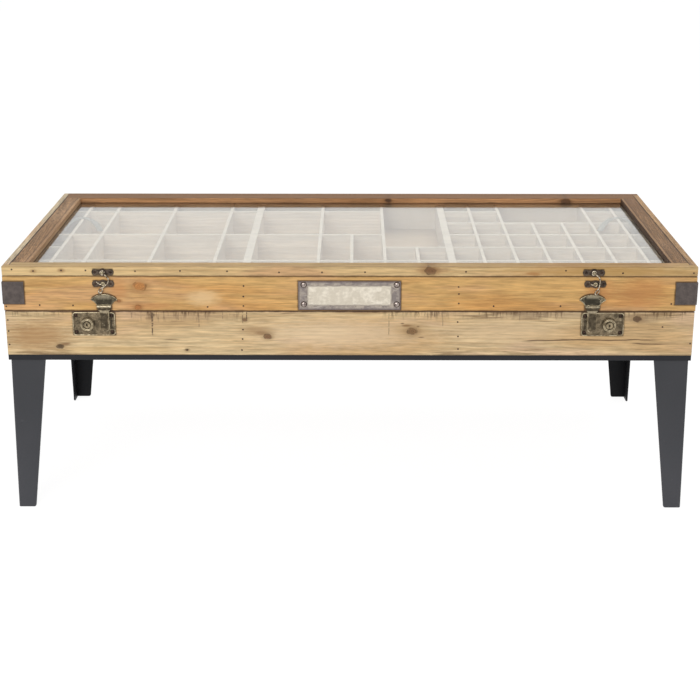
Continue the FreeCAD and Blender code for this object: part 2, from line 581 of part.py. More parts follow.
def lock_boss(place, centre):
    """Round escutcheon with a raised rim, riveted to the lock plate round the key plug."""
    solid = body(f"lock_boss_{place}")
    pad(solid, f"boss_drum_{place}", LOCK_FACE, "Sizes.boss_height * 0.6",
        lambda sketch: circle(sketch, centre, "Sizes.boss_radius"))

    def crown_ring(sketch):
        circle(sketch, centre, "Sizes.boss_ring_radius")
        circle(sketch, centre, "Sizes.boss_ring_radius - Sizes.boss_ring_width")

    pad(solid, f"boss_crown_{place}", f"{LOCK_FACE} + Sizes.boss_height * 0.6", "Sizes.boss_height * 0.28",
        crown_ring)
    pocket(solid, f"plug_bore_{place}", f"{LOCK_FACE} + Sizes.boss_height", "Sizes.boss_height + 1",
           lambda sketch: circle(sketch, centre, "Sizes.plug_radius + Sizes.plug_clearance"))
    return solid


def lock_plug(place, centre):
    """Turning plug with its keyway, held by the escutcheon."""
    solid = body(f"lock_plug_{place}")
    pad(solid, f"plug_core_{place}", f"{LOCK_FACE} + Sizes.plug_clearance", "Sizes.boss_height - Sizes.plug_clearance",
        lambda sketch: circle(sketch, centre, "Sizes.plug_radius"))
    half_way, half_slot = "Sizes.keyway_length / 2", "Sizes.keyway_width / 2"
    pocket(solid, f"keyway_{place}", f"{LOCK_FACE} + Sizes.boss_height", "Sizes.boss_height * 0.7",
           lambda sketch: outline(sketch, [
               (f"{centre[0]} - {half_slot}", f"{centre[1]} - {half_way}", None),
               (f"{centre[0]} + {half_slot}", f"{centre[1]} - {half_way}", None),
               (f"{centre[0]} + {half_slot}", f"{centre[1]} + {half_way}", None),
               (f"{centre[0]} - {half_slot}", f"{centre[1]} + {half_way}", None),
           ]))
    return node(solid, f"lock_plug_{place}")


def lock_plate(place, latch, outward):
    """The plate reaches further from the hasp on the side towards the table's end."""
    inner = f"{latch} {'+' if outward == '-' else '-'} Sizes.lock_plate_inboard"
    outer = f"({inner}) {outward} Sizes.lock_plate_length"
    x_span = (outer, inner) if outward == "-" else (inner, outer)
    z_span = (LOCK_LOW, LOCK_TOP)
    rim = "Sizes.lock_rim_width"
    solid = body(f"lock_plate_{place}")
    pad(solid, f"lock_sheet_{place}", HALF_DEPTH, "Sizes.lock_plate_thickness", lambda sketch: outline(
        sketch, rounded(x_span, z_span, "Sizes.lock_plate_corner")))

    def rim_ring(sketch):
        outline(sketch, rounded(x_span, z_span, "Sizes.lock_plate_corner"))
        inside = rounded((f"{x_span[0]} + {rim}", f"{x_span[1]} - {rim}"),
                         (f"{z_span[0]} + {rim}", f"{z_span[1]} - {rim}"),
                         "Sizes.lock_plate_corner - Sizes.lock_rim_width")
        outline(sketch, [(x, z, None) for x, z, _ in inside])

    pad(solid, f"lock_rim_{place}", LOCK_FACE, "Sizes.lock_rim_height", rim_ring)
    return node(solid, f"lock_plate_{place}")


def hasp_head(place, latch):
    """Almond head on the upper case with a barrel at each end of the hasp's own; the pin is riveted between them."""
    half = "Sizes.head_width / 2"
    foot = "Sizes.hasp_barrel_width / 2"
    tips, base = f"{HASP_AXIS} + Sizes.head_tip_rise", f"{HASP_AXIS} + Sizes.head_foot_rise"
    top = f"{HASP_AXIS} + Sizes.head_height"
    bow = "(Sizes.head_height - Sizes.head_tip_rise)"
    solid = body(f"hasp_head_{place}")
    pad(solid, f"head_sheet_{place}", HALF_DEPTH, "Sizes.head_thickness", lambda sketch: outline(sketch, [
        (f"{latch} - {foot}", base, None), (f"{latch} + {foot}", base, "1.2"),
        (f"{latch} + {half}", tips, f"-{bow} * 0.28"), (latch, top, f"-{bow} * 0.28"),
        (f"{latch} - {half}", tips, "1.2"),
    ]))
    barrel = f"{latch} - {foot}"
    for index, start in enumerate((barrel, f"{latch} + {foot} - {HEAD_BARREL}")):
        pad(solid, f"head_ear_{place}_{index}", start, HEAD_BARREL, lambda sketch: outline(sketch, [
            (f"-{HALF_DEPTH} - Sizes.head_thickness", HASP_AXIS, None), (f"-{HALF_DEPTH}", HASP_AXIS, None),
            (f"-{HALF_DEPTH}", f"{base} + 1", None), (f"-{HALF_DEPTH} - Sizes.head_thickness", f"{base} + 1", None),
        ]), role="YZ_Plane")
        pad(solid, f"head_barrel_{place}_{index}", start, HEAD_BARREL, lambda sketch: circle(
            sketch, (f"-{HASP_FRONT}", HASP_AXIS), "Sizes.hasp_knuckle_radius"), role="YZ_Plane")
    return node(solid, f"hasp_head_{place}")


def hasp(place, latch):
    """Strap with its own barrel, a shoulder, a round-ended tongue and a raised panel down its middle."""
    half_barrel = f"(Sizes.hasp_barrel_width / 2 - {HEAD_BARREL} - Sizes.hinge_play)"
    tongue = "Sizes.hasp_tongue_width / 2"
    wide = "Sizes.hasp_width / 2"
    tip = f"{HASP_AXIS} - Sizes.hasp_length"
    solid = body(f"hasp_{place}")
    pad(solid, f"hasp_barrel_{place}", f"{latch} - {half_barrel}", f"2 * {half_barrel}", lambda sketch: circle(
        sketch, (f"-{HASP_FRONT}", HASP_AXIS), "Sizes.hasp_knuckle_radius"), role="YZ_Plane")
    clear = "(Sizes.hasp_knuckle_radius + Sizes.hinge_play)"
    pad(solid, f"hasp_strap_{place}", HASP_FRONT, "Sizes.hasp_thickness", lambda sketch: outline(sketch, [
        (f"{latch} - {half_barrel}", HASP_AXIS, None),
        (f"{latch} - {half_barrel}", f"{HASP_AXIS} - {clear}", None),
        (f"{latch} - {wide}", f"{HASP_AXIS} - {clear}", None),
        (f"{latch} - {wide}", f"{HASP_AXIS} - Sizes.hasp_shoulder", None),
        (f"{latch} - {tongue}", f"{HASP_AXIS} - Sizes.hasp_shoulder - 3", None),
        (f"{latch} - {tongue}", f"{tip} + {tongue}", f"-{tongue} * 0.999"),
        (f"{latch} + {tongue}", f"{tip} + {tongue}", None),
        (f"{latch} + {tongue}", f"{HASP_AXIS} - Sizes.hasp_shoulder - 3", None),
        (f"{latch} + {wide}", f"{HASP_AXIS} - Sizes.hasp_shoulder", None),
        (f"{latch} + {wide}", f"{HASP_AXIS} - {clear}", None),
        (f"{latch} + {half_barrel}", f"{HASP_AXIS} - {clear}", None),
        (f"{latch} + {half_barrel}", HASP_AXIS, None),
    ]))
    half_panel = "Sizes.hasp_emboss_width / 2"
    low = f"{tip} + Sizes.hasp_emboss_width * 0.9"
    pad(solid, f"hasp_panel_{place}", f"{HASP_FRONT} + Sizes.hasp_thickness", "Sizes.hasp_emboss",
        lambda sketch: outline(sketch, [
            (f"{latch} - {half_panel}", f"{HASP_AXIS} - Sizes.hasp_shoulder", None),
            (f"{latch} - {half_panel}", low, None), (f"{latch} + {half_panel}", low, None),
            (f"{latch} + {half_panel}", f"{HASP_AXIS} - Sizes.hasp_shoulder", None),
        ]))
    pocket(solid, f"hasp_bore_{place}", f"{latch} + {half_barrel} + 1", f"2 * {half_barrel} + 2",
           lambda sketch: circle(sketch, (f"-{HASP_FRONT}", HASP_AXIS),
                                 "Sizes.hasp_pin_radius + Sizes.pin_clearance"), role="YZ_Plane")
    return node(solid, f"hasp_{place}")


lock_bosses = []
hasp_pins = []
for place, (latch, outward) in SIDES.items():
    boss_centre = (f"{latch} {outward} Sizes.boss_offset", BOSS_LEVEL)
    lock_plate(place, latch, outward)
    lock_plug(place, boss_centre)
    lock_bosses.append(lock_boss(place, boss_centre))
    hasp_head(place, latch)
    hasp(place, latch)
    hasp_pins.append(rod(f"hasp_pin_{place}", "x", "Sizes.hasp_pin_radius",
                         f"{latch} - Sizes.hasp_barrel_width / 2 + {HEAD_BARREL}",
                         f"(Sizes.hasp_barrel_width - 2 * {HEAD_BARREL})", (f"-{HASP_FRONT}", HASP_AXIS)))
node(group("lock_bosses", lock_bosses), "lock_bosses")
node(group("hasp_pins", hasp_pins), "hasp_pins")

# Hook latches: a plate with a rivet on the lid, a wire hook, a plate with a stud on the upper case

PIVOT_LEVEL = f"({LID_TOP} - Sizes.hook_pivot_drop)"
STUD_LEVEL = f"({UPPER_TOP} - Sizes.keeper_drop)"
LATCH_FACE = f"({HALF_DEPTH} + Sizes.latch_plate_thickness)"
HOOK_BACK = f"({LATCH_FACE} + Sizes.hook_stand_off)"
RIVET_RADIUS = "(Sizes.hook_eye_radius - Sizes.hook_wire_radius - Sizes.hook_eye_clearance)"


def latch_plate(solid, name, latch, middle):
    """Small plate with cut corners."""
    half_long, half_high = "Sizes.latch_plate_length / 2", "Sizes.latch_plate_height / 2"
    corners = rounded((f"{latch} - {half_long}", f"{latch} + {half_long}"),
                      (f"{middle} - {half_high}", f"{middle} + {half_high}"), "Sizes.latch_plate_corner")
    pad(solid, name, HALF_DEPTH, "Sizes.latch_plate_thickness",
        lambda sketch: outline(sketch, [(x, z, None) for x, z, _ in corners]))


def hook_plate(place, latch):
    solid = body(f"hook_plate_{place}")
    centre = (latch, PIVOT_LEVEL)
    latch_plate(solid, f"hook_plate_sheet_{place}", latch, PIVOT_LEVEL)
    shank = "Sizes.hook_stand_off + 2 * Sizes.hook_wire_radius + Sizes.rivet_play"
    pad(solid, f"rivet_shank_{place}", LATCH_FACE, f"{shank} + 0.1",
        lambda sketch: circle(sketch, centre, RIVET_RADIUS))
    pad(solid, f"rivet_head_{place}", f"{LATCH_FACE} + {shank}", "Sizes.rivet_head_height",
        lambda sketch: circle(sketch, centre, "Sizes.rivet_head_radius"))
    return solid


def hook_keeper(place, latch):
    solid = body(f"hook_keeper_{place}")
    centre = latch if place == "left" else f"({latch} + Sizes.keeper_shift)"
    latch_plate(solid, f"keeper_sheet_{place}", centre, STUD_LEVEL)
    pad(solid, f"keeper_stud_{place}", LATCH_FACE, "Sizes.stud_height", lambda sketch: circle(
        sketch, (centre, STUD_LEVEL), "Sizes.stud_radius"))
    return solid


def hook(place, latch):
    """Bent bar with an eye round the rivet, a bend past the stud and a ring at its lower end."""
    half = "Sizes.hook_wire_radius"
    reach, drop = "Sizes.hook_reach", "Sizes.hook_reach_drop"
    shift = "Sizes.hook_end_shift_left" if place == "left" else "(-Sizes.hook_end_shift_right)"
    back, fall = f"({shift} + Sizes.hook_reach)", "(Sizes.hook_drop - Sizes.hook_reach_drop)"
    upper = f"sqrt(({reach})^2 + ({drop})^2)"
    lower = f"sqrt(({back})^2 + ({fall})^2)"
    out_x, out_z = f"({reach} / {upper})", f"(-{drop} / {upper})"
    in_x, in_z = f"(-{back} / {lower})", f"(-{fall} / {lower})"
    turn = f"({out_x} * {in_x} + {out_z} * {in_z})"
    tangent = f"(Sizes.hook_bend_radius * sqrt((1 - {turn}) / (1 + {turn})))"
    flat = f"(1 - sqrt((1 + {turn}) / 2))"
    corner = (f"({latch} + {reach})", f"({PIVOT_LEVEL} - {drop})")
    end = (f"({latch} - {shift})", f"({PIVOT_LEVEL} - Sizes.hook_drop)")

    def beside(spot, way, along, side):
        """A place past spot along a direction, and half a bar to one side of it."""
        x, z = way
        return (f"{spot[0]} + {x} * ({along}) {side} -1 * {z} * {half}", f"{spot[1]} + {z} * ({along}) {side} {x} * {half}")

    out_way, in_way = (out_x, out_z), (in_x, in_z)
    pivot = (latch, PIVOT_LEVEL)
    bow_out = f"(Sizes.hook_bend_radius + {half}) * {flat}"
    bow_in = f"-(Sizes.hook_bend_radius - {half}) * {flat}"
    corners = [
        (*beside(pivot, out_way, "Sizes.hook_eye_radius", "+"), None),
        (*beside(corner, out_way, f"-{tangent}", "+"), bow_out),
        (*beside(corner, in_way, tangent, "+"), None),
        (*beside(end, in_way, "-Sizes.hook_loop_radius", "+"), None),
        (*beside(end, in_way, "-Sizes.hook_loop_radius", "-"), None),
        (*beside(corner, in_way, tangent, "-"), bow_in),
        (*beside(corner, out_way, f"-{tangent}", "-"), None),
        (*beside(pivot, out_way, "Sizes.hook_eye_radius", "-"), None),
    ]
    solid = body(f"hook_{place}")
    pad(solid, f"hook_bar_{place}", HOOK_BACK, f"2 * {half}", lambda sketch: outline(sketch, corners))
    for name, centre, radius in (("eye", pivot, "Sizes.hook_eye_radius"), ("ring", end, "Sizes.hook_loop_radius")):
        pad(solid, f"hook_{name}_{place}", HOOK_BACK, f"2 * {half}",
            lambda sketch: circle(sketch, centre, f"{radius} + {half}"))
        pocket(solid, f"hook_{name}_hole_{place}", f"{HOOK_BACK} + 2 * {half} + 1", f"2 * {half} + 2",
               lambda sketch: circle(sketch, centre, f"{radius} - {half}"))
    return node(solid, f"hook_{place}")


node(group("hook_plates", [hook_plate(place, latch) for place, (latch, _) in SIDES.items()]), "hook_plates")
node(group("hook_keepers", [hook_keeper(place, latch) for place, (latch, _) in SIDES.items()]), "hook_keepers")
for place, (latch, _) in SIDES.items():
    hook(place, latch)

# Rear hinges: a leaf on each rear face, three barrels, the pin staked in the lower leaf

HINGE_AXIS_BACK = f"({HALF_DEPTH} + Sizes.hinge_knuckle_gap + Sizes.hinge_knuckle_radius)"
BARRELS = 3


def hinge_leaf(name, middle, axis_level, upward):
    """The lower leaf carries the outer barrels and the pin, the upper leaf the barrel that turns between them."""
    sign = "+" if upward else "-"
    start = f"{middle} - Sizes.hinge_width / 2"
    centre = (HINGE_AXIS_BACK, axis_level)
    near, far = f"{axis_level} {sign} Sizes.seam_gap / 2", f"{axis_level} {sign} Sizes.hinge_leaf_height"
    leaf = block(f"{name}_sheet", (start, f"{middle} + Sizes.hinge_width / 2"),
                 (HALF_DEPTH, f"{HALF_DEPTH} + Sizes.hinge_leaf_thickness"), (near, far) if upward else (far, near))
    barrel = rod(f"{name}_barrel", "x", "Sizes.hinge_knuckle_radius", start, "Sizes.hinge_width", centre)
    reach = "(Sizes.hinge_knuckle_radius + Sizes.hinge_knuckle_gap)"
    tools = []
    for index in range(0, BARRELS, 2) if upward else range(1, BARRELS, 2):
        low = f"{start} + Sizes.hinge_width * {index} / {BARRELS} - Sizes.hinge_play / 2"
        high = f"{start} + Sizes.hinge_width * {index + 1} / {BARRELS} + Sizes.hinge_play / 2"
        tools.append(block(f"{name}_gap_{index}", (low, high), (f"{HALF_DEPTH} - 1", f"{HINGE_AXIS_BACK} + {reach}"),
                           (f"{axis_level} - {reach}", f"{axis_level} + {reach}")))
    if upward:
        tools.append(rod(f"{name}_bore", "x", "Sizes.hinge_pin_radius + Sizes.pin_clearance", f"{start} - 1",
                         "Sizes.hinge_width + 2", centre))
    cut_leaf = cut(f"{name}_cut", fuse(f"{name}_blank", [leaf, barrel]), tools)
    if upward:
        return cut_leaf
    pin = rod(f"{name}_pin", "x", "Sizes.hinge_pin_radius", f"{start} + 1", "Sizes.hinge_width - 2", centre)
    return fuse(name, [cut_leaf, pin])


for seam, below in (("case", LOWER_TOP), ("lid", UPPER_TOP)):
    level = f"({below} + Sizes.seam_gap / 2)"
    middles = {"left": f"-({HALF_LENGTH} - Sizes.hinge_inset)", "right": f"({HALF_LENGTH} - Sizes.hinge_inset)"}
    for half, upward in (("lower", False), ("upper", True)):
        leaves = [hinge_leaf(f"{seam}_{half}_leaf_{place}", middle, level, upward)
                  for place, middle in middles.items()]
        node(group(f"{seam}_hinge_{half}_leaves", leaves), f"{seam}_hinge_{half}_leaves")

# Check every object, then write each piece under its node name

doc.recompute()
for item in doc.Objects:
    if "Invalid" in item.State or "Error" in item.State:
        raise RuntimeError(f"{item.Label} failed: {item.State}")
os.makedirs("parts", exist_ok=True)
for part in NODES:
    if part.Shape.isNull() or not part.Shape.isValid():
        raise RuntimeError(f"{part.Label} has no sound shape")
for part in NODES:
    part.Shape.exportStep(f"parts/{part.Label}.step")
solids = sum(len(part.Shape.Solids) for part in NODES)
print(f"{len(NODES)} nodes, {solids} solids")
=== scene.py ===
"""Looks of a long coffee table: an old pine case with a compartmented tray under a glass lid, on folded steel legs."""
import math
import random
from functools import reduce

import bmesh
import bpy
from mathutils import Matrix, Vector


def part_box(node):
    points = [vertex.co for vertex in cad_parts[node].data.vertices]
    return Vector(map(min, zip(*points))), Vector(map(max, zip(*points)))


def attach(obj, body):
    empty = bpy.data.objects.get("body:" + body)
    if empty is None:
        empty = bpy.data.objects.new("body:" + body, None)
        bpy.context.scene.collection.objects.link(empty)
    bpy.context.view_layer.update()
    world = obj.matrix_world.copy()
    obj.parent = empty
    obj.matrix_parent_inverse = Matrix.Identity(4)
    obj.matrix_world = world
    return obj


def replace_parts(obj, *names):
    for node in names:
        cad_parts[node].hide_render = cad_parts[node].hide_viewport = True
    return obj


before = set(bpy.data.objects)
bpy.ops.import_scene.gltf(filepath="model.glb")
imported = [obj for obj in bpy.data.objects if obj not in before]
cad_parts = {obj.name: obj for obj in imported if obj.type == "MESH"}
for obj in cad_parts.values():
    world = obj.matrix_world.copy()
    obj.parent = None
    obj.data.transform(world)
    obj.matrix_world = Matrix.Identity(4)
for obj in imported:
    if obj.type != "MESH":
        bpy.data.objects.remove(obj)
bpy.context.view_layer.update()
MM = 0.001

# Camera: the photograph's place, above the lid and looking slightly down

PICTURE, SENSOR = 700.0, 36.0  # width in pixels and in millimetres
FOCAL = 1382.1
SHIFT_DOWN = 84.0
PITCH, TURN = math.radians(16.427), math.radians(0.226)
EYE = Vector((0.0101, -2.5932, 1.1468))

lens = bpy.data.cameras.new("camera")
lens.sensor_width = SENSOR
lens.lens = FOCAL * SENSOR / PICTURE
lens.shift_y = -SHIFT_DOWN / PICTURE
lens.clip_start, lens.clip_end = 0.05, 100.0
camera = bpy.data.objects.new("camera", lens)
camera.location = EYE
camera.rotation_euler = (math.pi / 2 - PITCH, 0.0, TURN)
bpy.context.collection.objects.link(camera)
bpy.context.scene.camera = camera
bpy.context.scene.view_settings.view_transform = "Standard"


def seen(px, py, axis, level):
    """The point at a pixel of the picture on the plane where that axis has that level, in metres."""
    right = Vector((math.cos(TURN), math.sin(TURN), 0.0))
    ahead = Vector((-math.sin(TURN) * math.cos(PITCH), math.cos(TURN) * math.cos(PITCH), -math.sin(PITCH)))
    up = right.cross(ahead)
    ray = ahead + right * ((px - PICTURE / 2) / FOCAL) + up * ((PICTURE / 2 - SHIFT_DOWN - py) / FOCAL)
    return EYE + ray * ((level - EYE[axis]) / ray[axis])


def on_front(px, py):
    point = seen(px, py, 1, FRONT)
    return point.x, point.z


def low(node):
    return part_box(node)[0]


def high(node):
    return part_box(node)[1]


def mid_level(node):
    return (low(node).z + high(node).z) / 2


FRONT = low("upper_front_board").y
REAR = high("upper_rear_board").y
BOARD, HINGE_LEAF, LATCH_SHEET, HEAD_SHEET = 0.012, 0.0015, 0.0014, 0.002  # thicknesses

# Materials, written as arithmetic on fields


class Field:
    """A number or vector that varies over the surface."""

    def __init__(self, shade, socket):
        self.shade, self.socket = shade, socket

    def __add__(self, other):
        return self.shade.math("ADD", self, other)

    def __sub__(self, other):
        return self.shade.math("SUBTRACT", self, other)

    def __mul__(self, other):
        return self.shade.math("MULTIPLY", self, other)

    def __truediv__(self, other):
        return self.shade.math("DIVIDE", self, other)

    def __abs__(self):
        return self.shade.math("ABSOLUTE", self)


MATERIALS = {}


class Shade:
    """The nodes of a new material, or of the world that is given."""

    def __init__(self, name, world=None):
        owner = world or bpy.data.materials.new(name)
        owner.use_nodes = True
        self.name, self.tree = name, owner.node_tree
        self.tree.nodes.clear()
        self.out = self.tree.nodes.new("ShaderNodeOutputWorld" if world else "ShaderNodeOutputMaterial")
        if not world:
            MATERIALS[name] = owner
            place = self.tree.nodes.new("ShaderNodeTexCoord")
            split = self.tree.nodes.new("ShaderNodeSeparateXYZ")
            self.tree.links.new(place.outputs["Object"], split.inputs[0])
            self.x, self.y, self.z = (Field(self, split.outputs[i]) for i in range(3))

    def feed(self, socket, value):
        if isinstance(value, Field):
            self.tree.links.new(value.socket, socket)
        elif socket.type == "RGBA" and len(value) == 3:
            socket.default_value = (*value, 1.0)
        else:
            socket.default_value = value

    def node(self, kind, inputs, output=0, **settings):
        node = self.tree.nodes.new(kind)
        for key, value in settings.items():
            setattr(node, key, value)
        for key, value in inputs.items():
            self.feed(node.inputs[key], value)
        return Field(self, node.outputs[output])

    def math(self, operation, *values):
        return self.node("ShaderNodeMath", dict(enumerate(values)), operation=operation)

    def larger(self, one, other):
        return self.math("MAXIMUM", one, other)

    def length(self, dx, dz):
        return self.math("SQRT", dx * dx + dz * dz)

    def offset(self, across, up, centre, reach):
        """Length of the offset from a centre, with each direction measured in its own reach."""
        return self.length((across - centre[0]) / reach[0], (up - centre[1]) / reach[1])

    def from_box(self, x, z, half_x, half_z):
        """Distance on the front from a box, zero within it."""
        return self.length(self.larger(abs(self.x - x) - half_x, 0.0), self.larger(abs(self.z - z) - half_z, 0.0))

    def join(self, x, y, z):
        return self.node("ShaderNodeCombineXYZ", {0: x, 1: y, 2: z})

    def noise(self, x, y, z, detail=2.0, roughness=0.5):
        return self.node("ShaderNodeTexNoise", {"Vector": self.join(x, y, z), "Scale": 1.0, "Detail": detail,
                                                "Roughness": roughness})

    def even_noise(self, scale, detail=2.0, roughness=0.5):
        """Noise that is as fine in every direction."""
        return self.noise(self.x * scale, self.y * scale, self.z * scale, detail, roughness)

    def step(self, value, start, end, low=0.0, high=1.0):
        """Smooth change from low to high as the value goes from start to end."""
        return self.node("ShaderNodeMapRange", {0: value, 1: start, 2: end, 3: low, 4: high},
                         interpolation_type="SMOOTHSTEP")

    def band(self, value, rise, fall):
        """One between two soft ends, each the pair of values where it starts and is over."""
        return self.step(value, *rise) * self.step(value, *fall, 1.0, 0.0)

    def mix(self, factor, one, other, blend="MIX"):
        return self.node("ShaderNodeMix", {0: factor, 6: one, 7: other}, output=2, data_type="RGBA",
                         blend_type=blend, clamp_factor=True)

    def scale(self, colour, factor):
        return self.mix(1.0, colour, self.join(factor, factor, factor), "MULTIPLY")

    def bump(self, height, distance, strength):
        return self.node("ShaderNodeBump", {"Height": height, "Distance": distance, "Strength": strength})

    def rays(self, *kinds):
        """One for rays of these kinds, zero for all others."""
        path = self.tree.nodes.new("ShaderNodeLightPath")
        return reduce(self.larger, [Field(self, path.outputs[f"Is {kind} Ray"]) for kind in kinds])

    def show(self, shader):
        self.tree.links.new(shader.socket, self.out.inputs["Surface"])
        return self.name

    def surface(self, colour, roughness, normal=None, **numbers):
        inputs = {"Base Color": colour, "Roughness": roughness}
        if normal is not None:
            inputs["Normal"] = normal
        inputs.update({key.replace("_", " "): value for key, value in numbers.items()})
        return self.show(self.node("ShaderNodeBsdfPrincipled", inputs))


def rgb(red, green, blue):
    """A colour named by its eight-bit display values, as light."""
    return tuple((v / 12.92 if v <= 0.04045 else ((v + 0.055) / 1.055) ** 2.4)
                 for v in (red / 255.0, green / 255.0, blue / 255.0))


def lit(colour, level):
    """The colour with that share of its light."""
    return tuple(v * level for v in colour)


STEEL_EDGE, BOARD_EDGE, PLATE_EDGE, BOSS_EDGE = 0.0005, 0.0008, 0.0004, 0.0003  # widths of the softened arrises


def dress(nodes, material, bevel=0.0):
    """Gives CAD nodes a material and arrises softened by a narrow bevel."""
    for node in nodes.split():
        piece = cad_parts[node]
        if bevel:
            weld = piece.modifiers.new("weld", "WELD")
            weld.merge_threshold = 0.00002
            soft = piece.modifiers.new("soft_edges", "BEVEL")
            soft.width, soft.segments = bevel, 2
            soft.limit_method, soft.angle_limit = "ANGLE", math.radians(35)
            soft.use_clamp_overlap = True
            soft.harden_normals = False
        piece.data.materials.clear()
        piece.data.materials.append(MATERIALS[material])


def wood(nodes, name, grain, tone, seed, heart, ring=0.0042, contrast=0.75, knots=(), stains=(), edges=(),
         scratches=(), marks=(), cracks=(), fittings=(), heads=(), washes=(), blush=None, smears=(), rough=0.62,
         dirt=0.5, depth=1.0, crisp=1.0, speckle=0.0, grain_tilt=0.0):
    """Old pine on these nodes, its growth rings round a heart (up, across). tone: colours of early and late wood,
    and a third if it is patchy; knots: (along, up, radius, colour); stains: (along, up, reach along, reach up,
    colour, strength); edges: (axis, level, reach, strength) of darkened arrises, with a colour if it isn't dark;
    scratches and smears: (first, last, edge, drop, strength) of bands along an edge; marks: (along, first, last,
    width, strength) of scratches down the face; cracks: (first, last, level, width); fittings: boxes of the metal
    on the face, with painted contact shadow and grime round them; heads: (x, tips' level, top, half width) of
    almond heads, with painted shadow round them; washes: (axis, first, last, lowest, highest, colour) of
    limewashed faces; speckle: strength of short flecks everywhere."""
    s = Shade(name)
    early, late, *patch = tone
    along, side, up = (s.x, s.y, s.z) if grain == "x" else (s.y, s.x, s.z)
    if grain_tilt:
        side = side + along * grain_tilt
    o = seed * 7.31
    slow = s.noise(along * 1.6 + o, side * 9.0 + o, up * 9.0, 1.0) - 0.5
    quick = s.noise(along * 7.0 + o, side * 34.0, up * 34.0 + o, 2.0) - 0.5
    bent = up + slow * 0.05 + quick * 0.007
    for place, level, radius, _ in knots:
        dx, dz = (along - place) / 1.7, up - level
        spread = dx * dx + dz * dz
        bent = bent - dz * (radius * radius * 1.6) / (spread + radius * radius * 0.5)
    du, dw = bent - heart[0], side - heart[1] + slow * 0.02
    rings = s.band(s.math("FRACT", s.length(du, dw) / ring), (0.35, 0.88), (0.9, 1.0))
    broad = s.noise(along * 2.3, side * 14.0 + o, up * 22.0 + o, 2.0)
    fade = s.step(broad, 0.3, 0.72, 0.35, 1.0)
    fibre = s.noise(along * 38.0 + o, side * 900.0, up * 900.0, 2.0, 0.6)
    streak = s.noise(along * 5.0, side * 110.0 + o, up * 135.0 + o, 3.0, 0.62)
    fleck = s.noise(along * 30.0 + o, side * 250.0, up * 330.0 + o, 2.0, 0.6)
    colour = s.mix(rings * fade * contrast, early, late)
    if patch:
        other = s.noise(along * 3.1 + o * 2, side * 12.0, up * 15.0, 2.0, 0.55)
        colour = s.mix(s.step(other, 0.46, 0.66) * 0.8, colour, patch[0])
    if blush:
        warm = s.noise(along * 4.3 + o * 3, side * 10.0, up * 19.0 + o, 2.0, 0.6)
        colour = s.mix(s.step(warm, 0.5, 0.68) * 0.55, colour, blush)
    colour = s.scale(colour, s.step(streak, 0.28, 0.72, 1.0 - 0.24 * depth, 1.0 + 0.15 * depth))
    colour = s.scale(colour, s.step(fleck, 0.25, 0.75, 1.0 - 0.17 * depth * crisp, 1.0 + 0.13 * depth * crisp))
    if speckle:
        flecks = s.noise(along * 170.0 + o, side * 420.0, up * 420.0 + o, 2.0, 0.7)
        colour = s.scale(colour, s.step(flecks, 0.34, 0.66, 1.0 - speckle, 1.0 + speckle))
    colour = s.scale(colour, s.step(fibre, 0.2, 0.8, 0.93, 1.06))
    height = fibre * 0.5 + rings * 0.35 + streak * 0.5
    grime = s.noise(along * 14.0 + o, side * 210.0, up * 260.0 + o, 3.0, 0.65)
    for first, last, edge, drop, gain in smears:
        inside = s.band(along, (first - 0.02, first + 0.05), (last - 0.05, last + 0.02))
        grime = grime + inside * s.step(up, edge - drop, edge) * gain
    colour = s.mix(s.step(grime, 0.6, 0.76) * dirt, colour, lit(late, 0.42))
    for place, level, reach, rise, tint, strength in stains:
        away = s.offset(along, up, (place, level), (reach, rise))
        ragged = away + (s.noise(along * 60.0, side * 40.0, up * 260.0 + o, 3.0, 0.6) - 0.5) * 0.9
        colour = s.mix(s.step(ragged, 1.15, 0.2) * strength, colour, tint)
    for place, level, radius, tint in knots:
        away = s.offset(along, up, (place, level), (radius * 1.45, radius))
        warped = away + (s.noise(along * 170.0 + o, side * 90.0, up * 210.0, 2.0) - 0.5) * 0.7
        halo = s.step(warped, 2.3, 0.8) * 0.45
        colour = s.mix(halo, colour, lit(late, 0.66))
        core = s.step(warped, 1.1, 0.6)
        turns = s.math("FRACT", warped * 2.6)
        colour = s.mix(core * 0.8, colour, s.mix(s.step(turns, 0.3, 0.9) * 0.85, lit(tint, 1.15), lit(tint, 0.45)))
        rim = s.band(warped, (0.72, 0.95), (0.95, 1.2))
        wide = s.step(s.noise(along * 90.0 + o, 0.4, up * 90.0, 1.0), 0.4, 0.6)
        colour = s.mix(rim * wide * 0.7, colour, lit(tint, 0.3))
        height = height - core * 0.5
    for first, last, edge, drop, strength in scratches:
        inside = s.band(along, (first, first + 0.03), (last - 0.03, last))
        fall = s.step(up, edge - drop, edge - drop * 0.1)
        lines = s.noise(along * 260.0 + o, side * 50.0, up * 48.0, 3.0, 0.6)
        wide = s.noise(along * 24.0 + o, side * 30.0, up * 30.0, 2.0)
        worn = inside * fall * s.step(lines, 0.46, 0.64) * s.step(wide, 0.36, 0.56)
        colour = s.mix(worn * strength, colour, rgb(86, 62, 40))
    for place, first, last, width, strength in marks:
        line = abs(along - place + (s.noise(0.2, 0.3, up * 160.0 + o, 2.0) - 0.5) * width)
        reach = s.band(up, (last, last + 0.004), (first - 0.001, first + 0.001))
        broken = s.step(s.noise(along * 50.0, 0.5, up * 420.0 + o, 2.0), 0.34, 0.5)
        colour = s.mix(s.step(line, width, width * 0.3) * reach * broken * strength, colour, rgb(96, 76, 58))
    for first, last, level, width in cracks:
        line = abs(up - level - (s.noise(along * 9.0 + o, 0.3, 0.7, 3.0) - 0.5) * 0.012)
        split = s.step(line, width, width * 0.2) * s.band(along, (first, first + 0.02), (last - 0.03, last))
        colour = s.mix(split * 0.8, colour, rgb(70, 46, 28))
        height = height - split * 3.0
    for axis, level, reach, strength, *tint in edges:
        near = abs(getattr(s, axis) - level) / reach
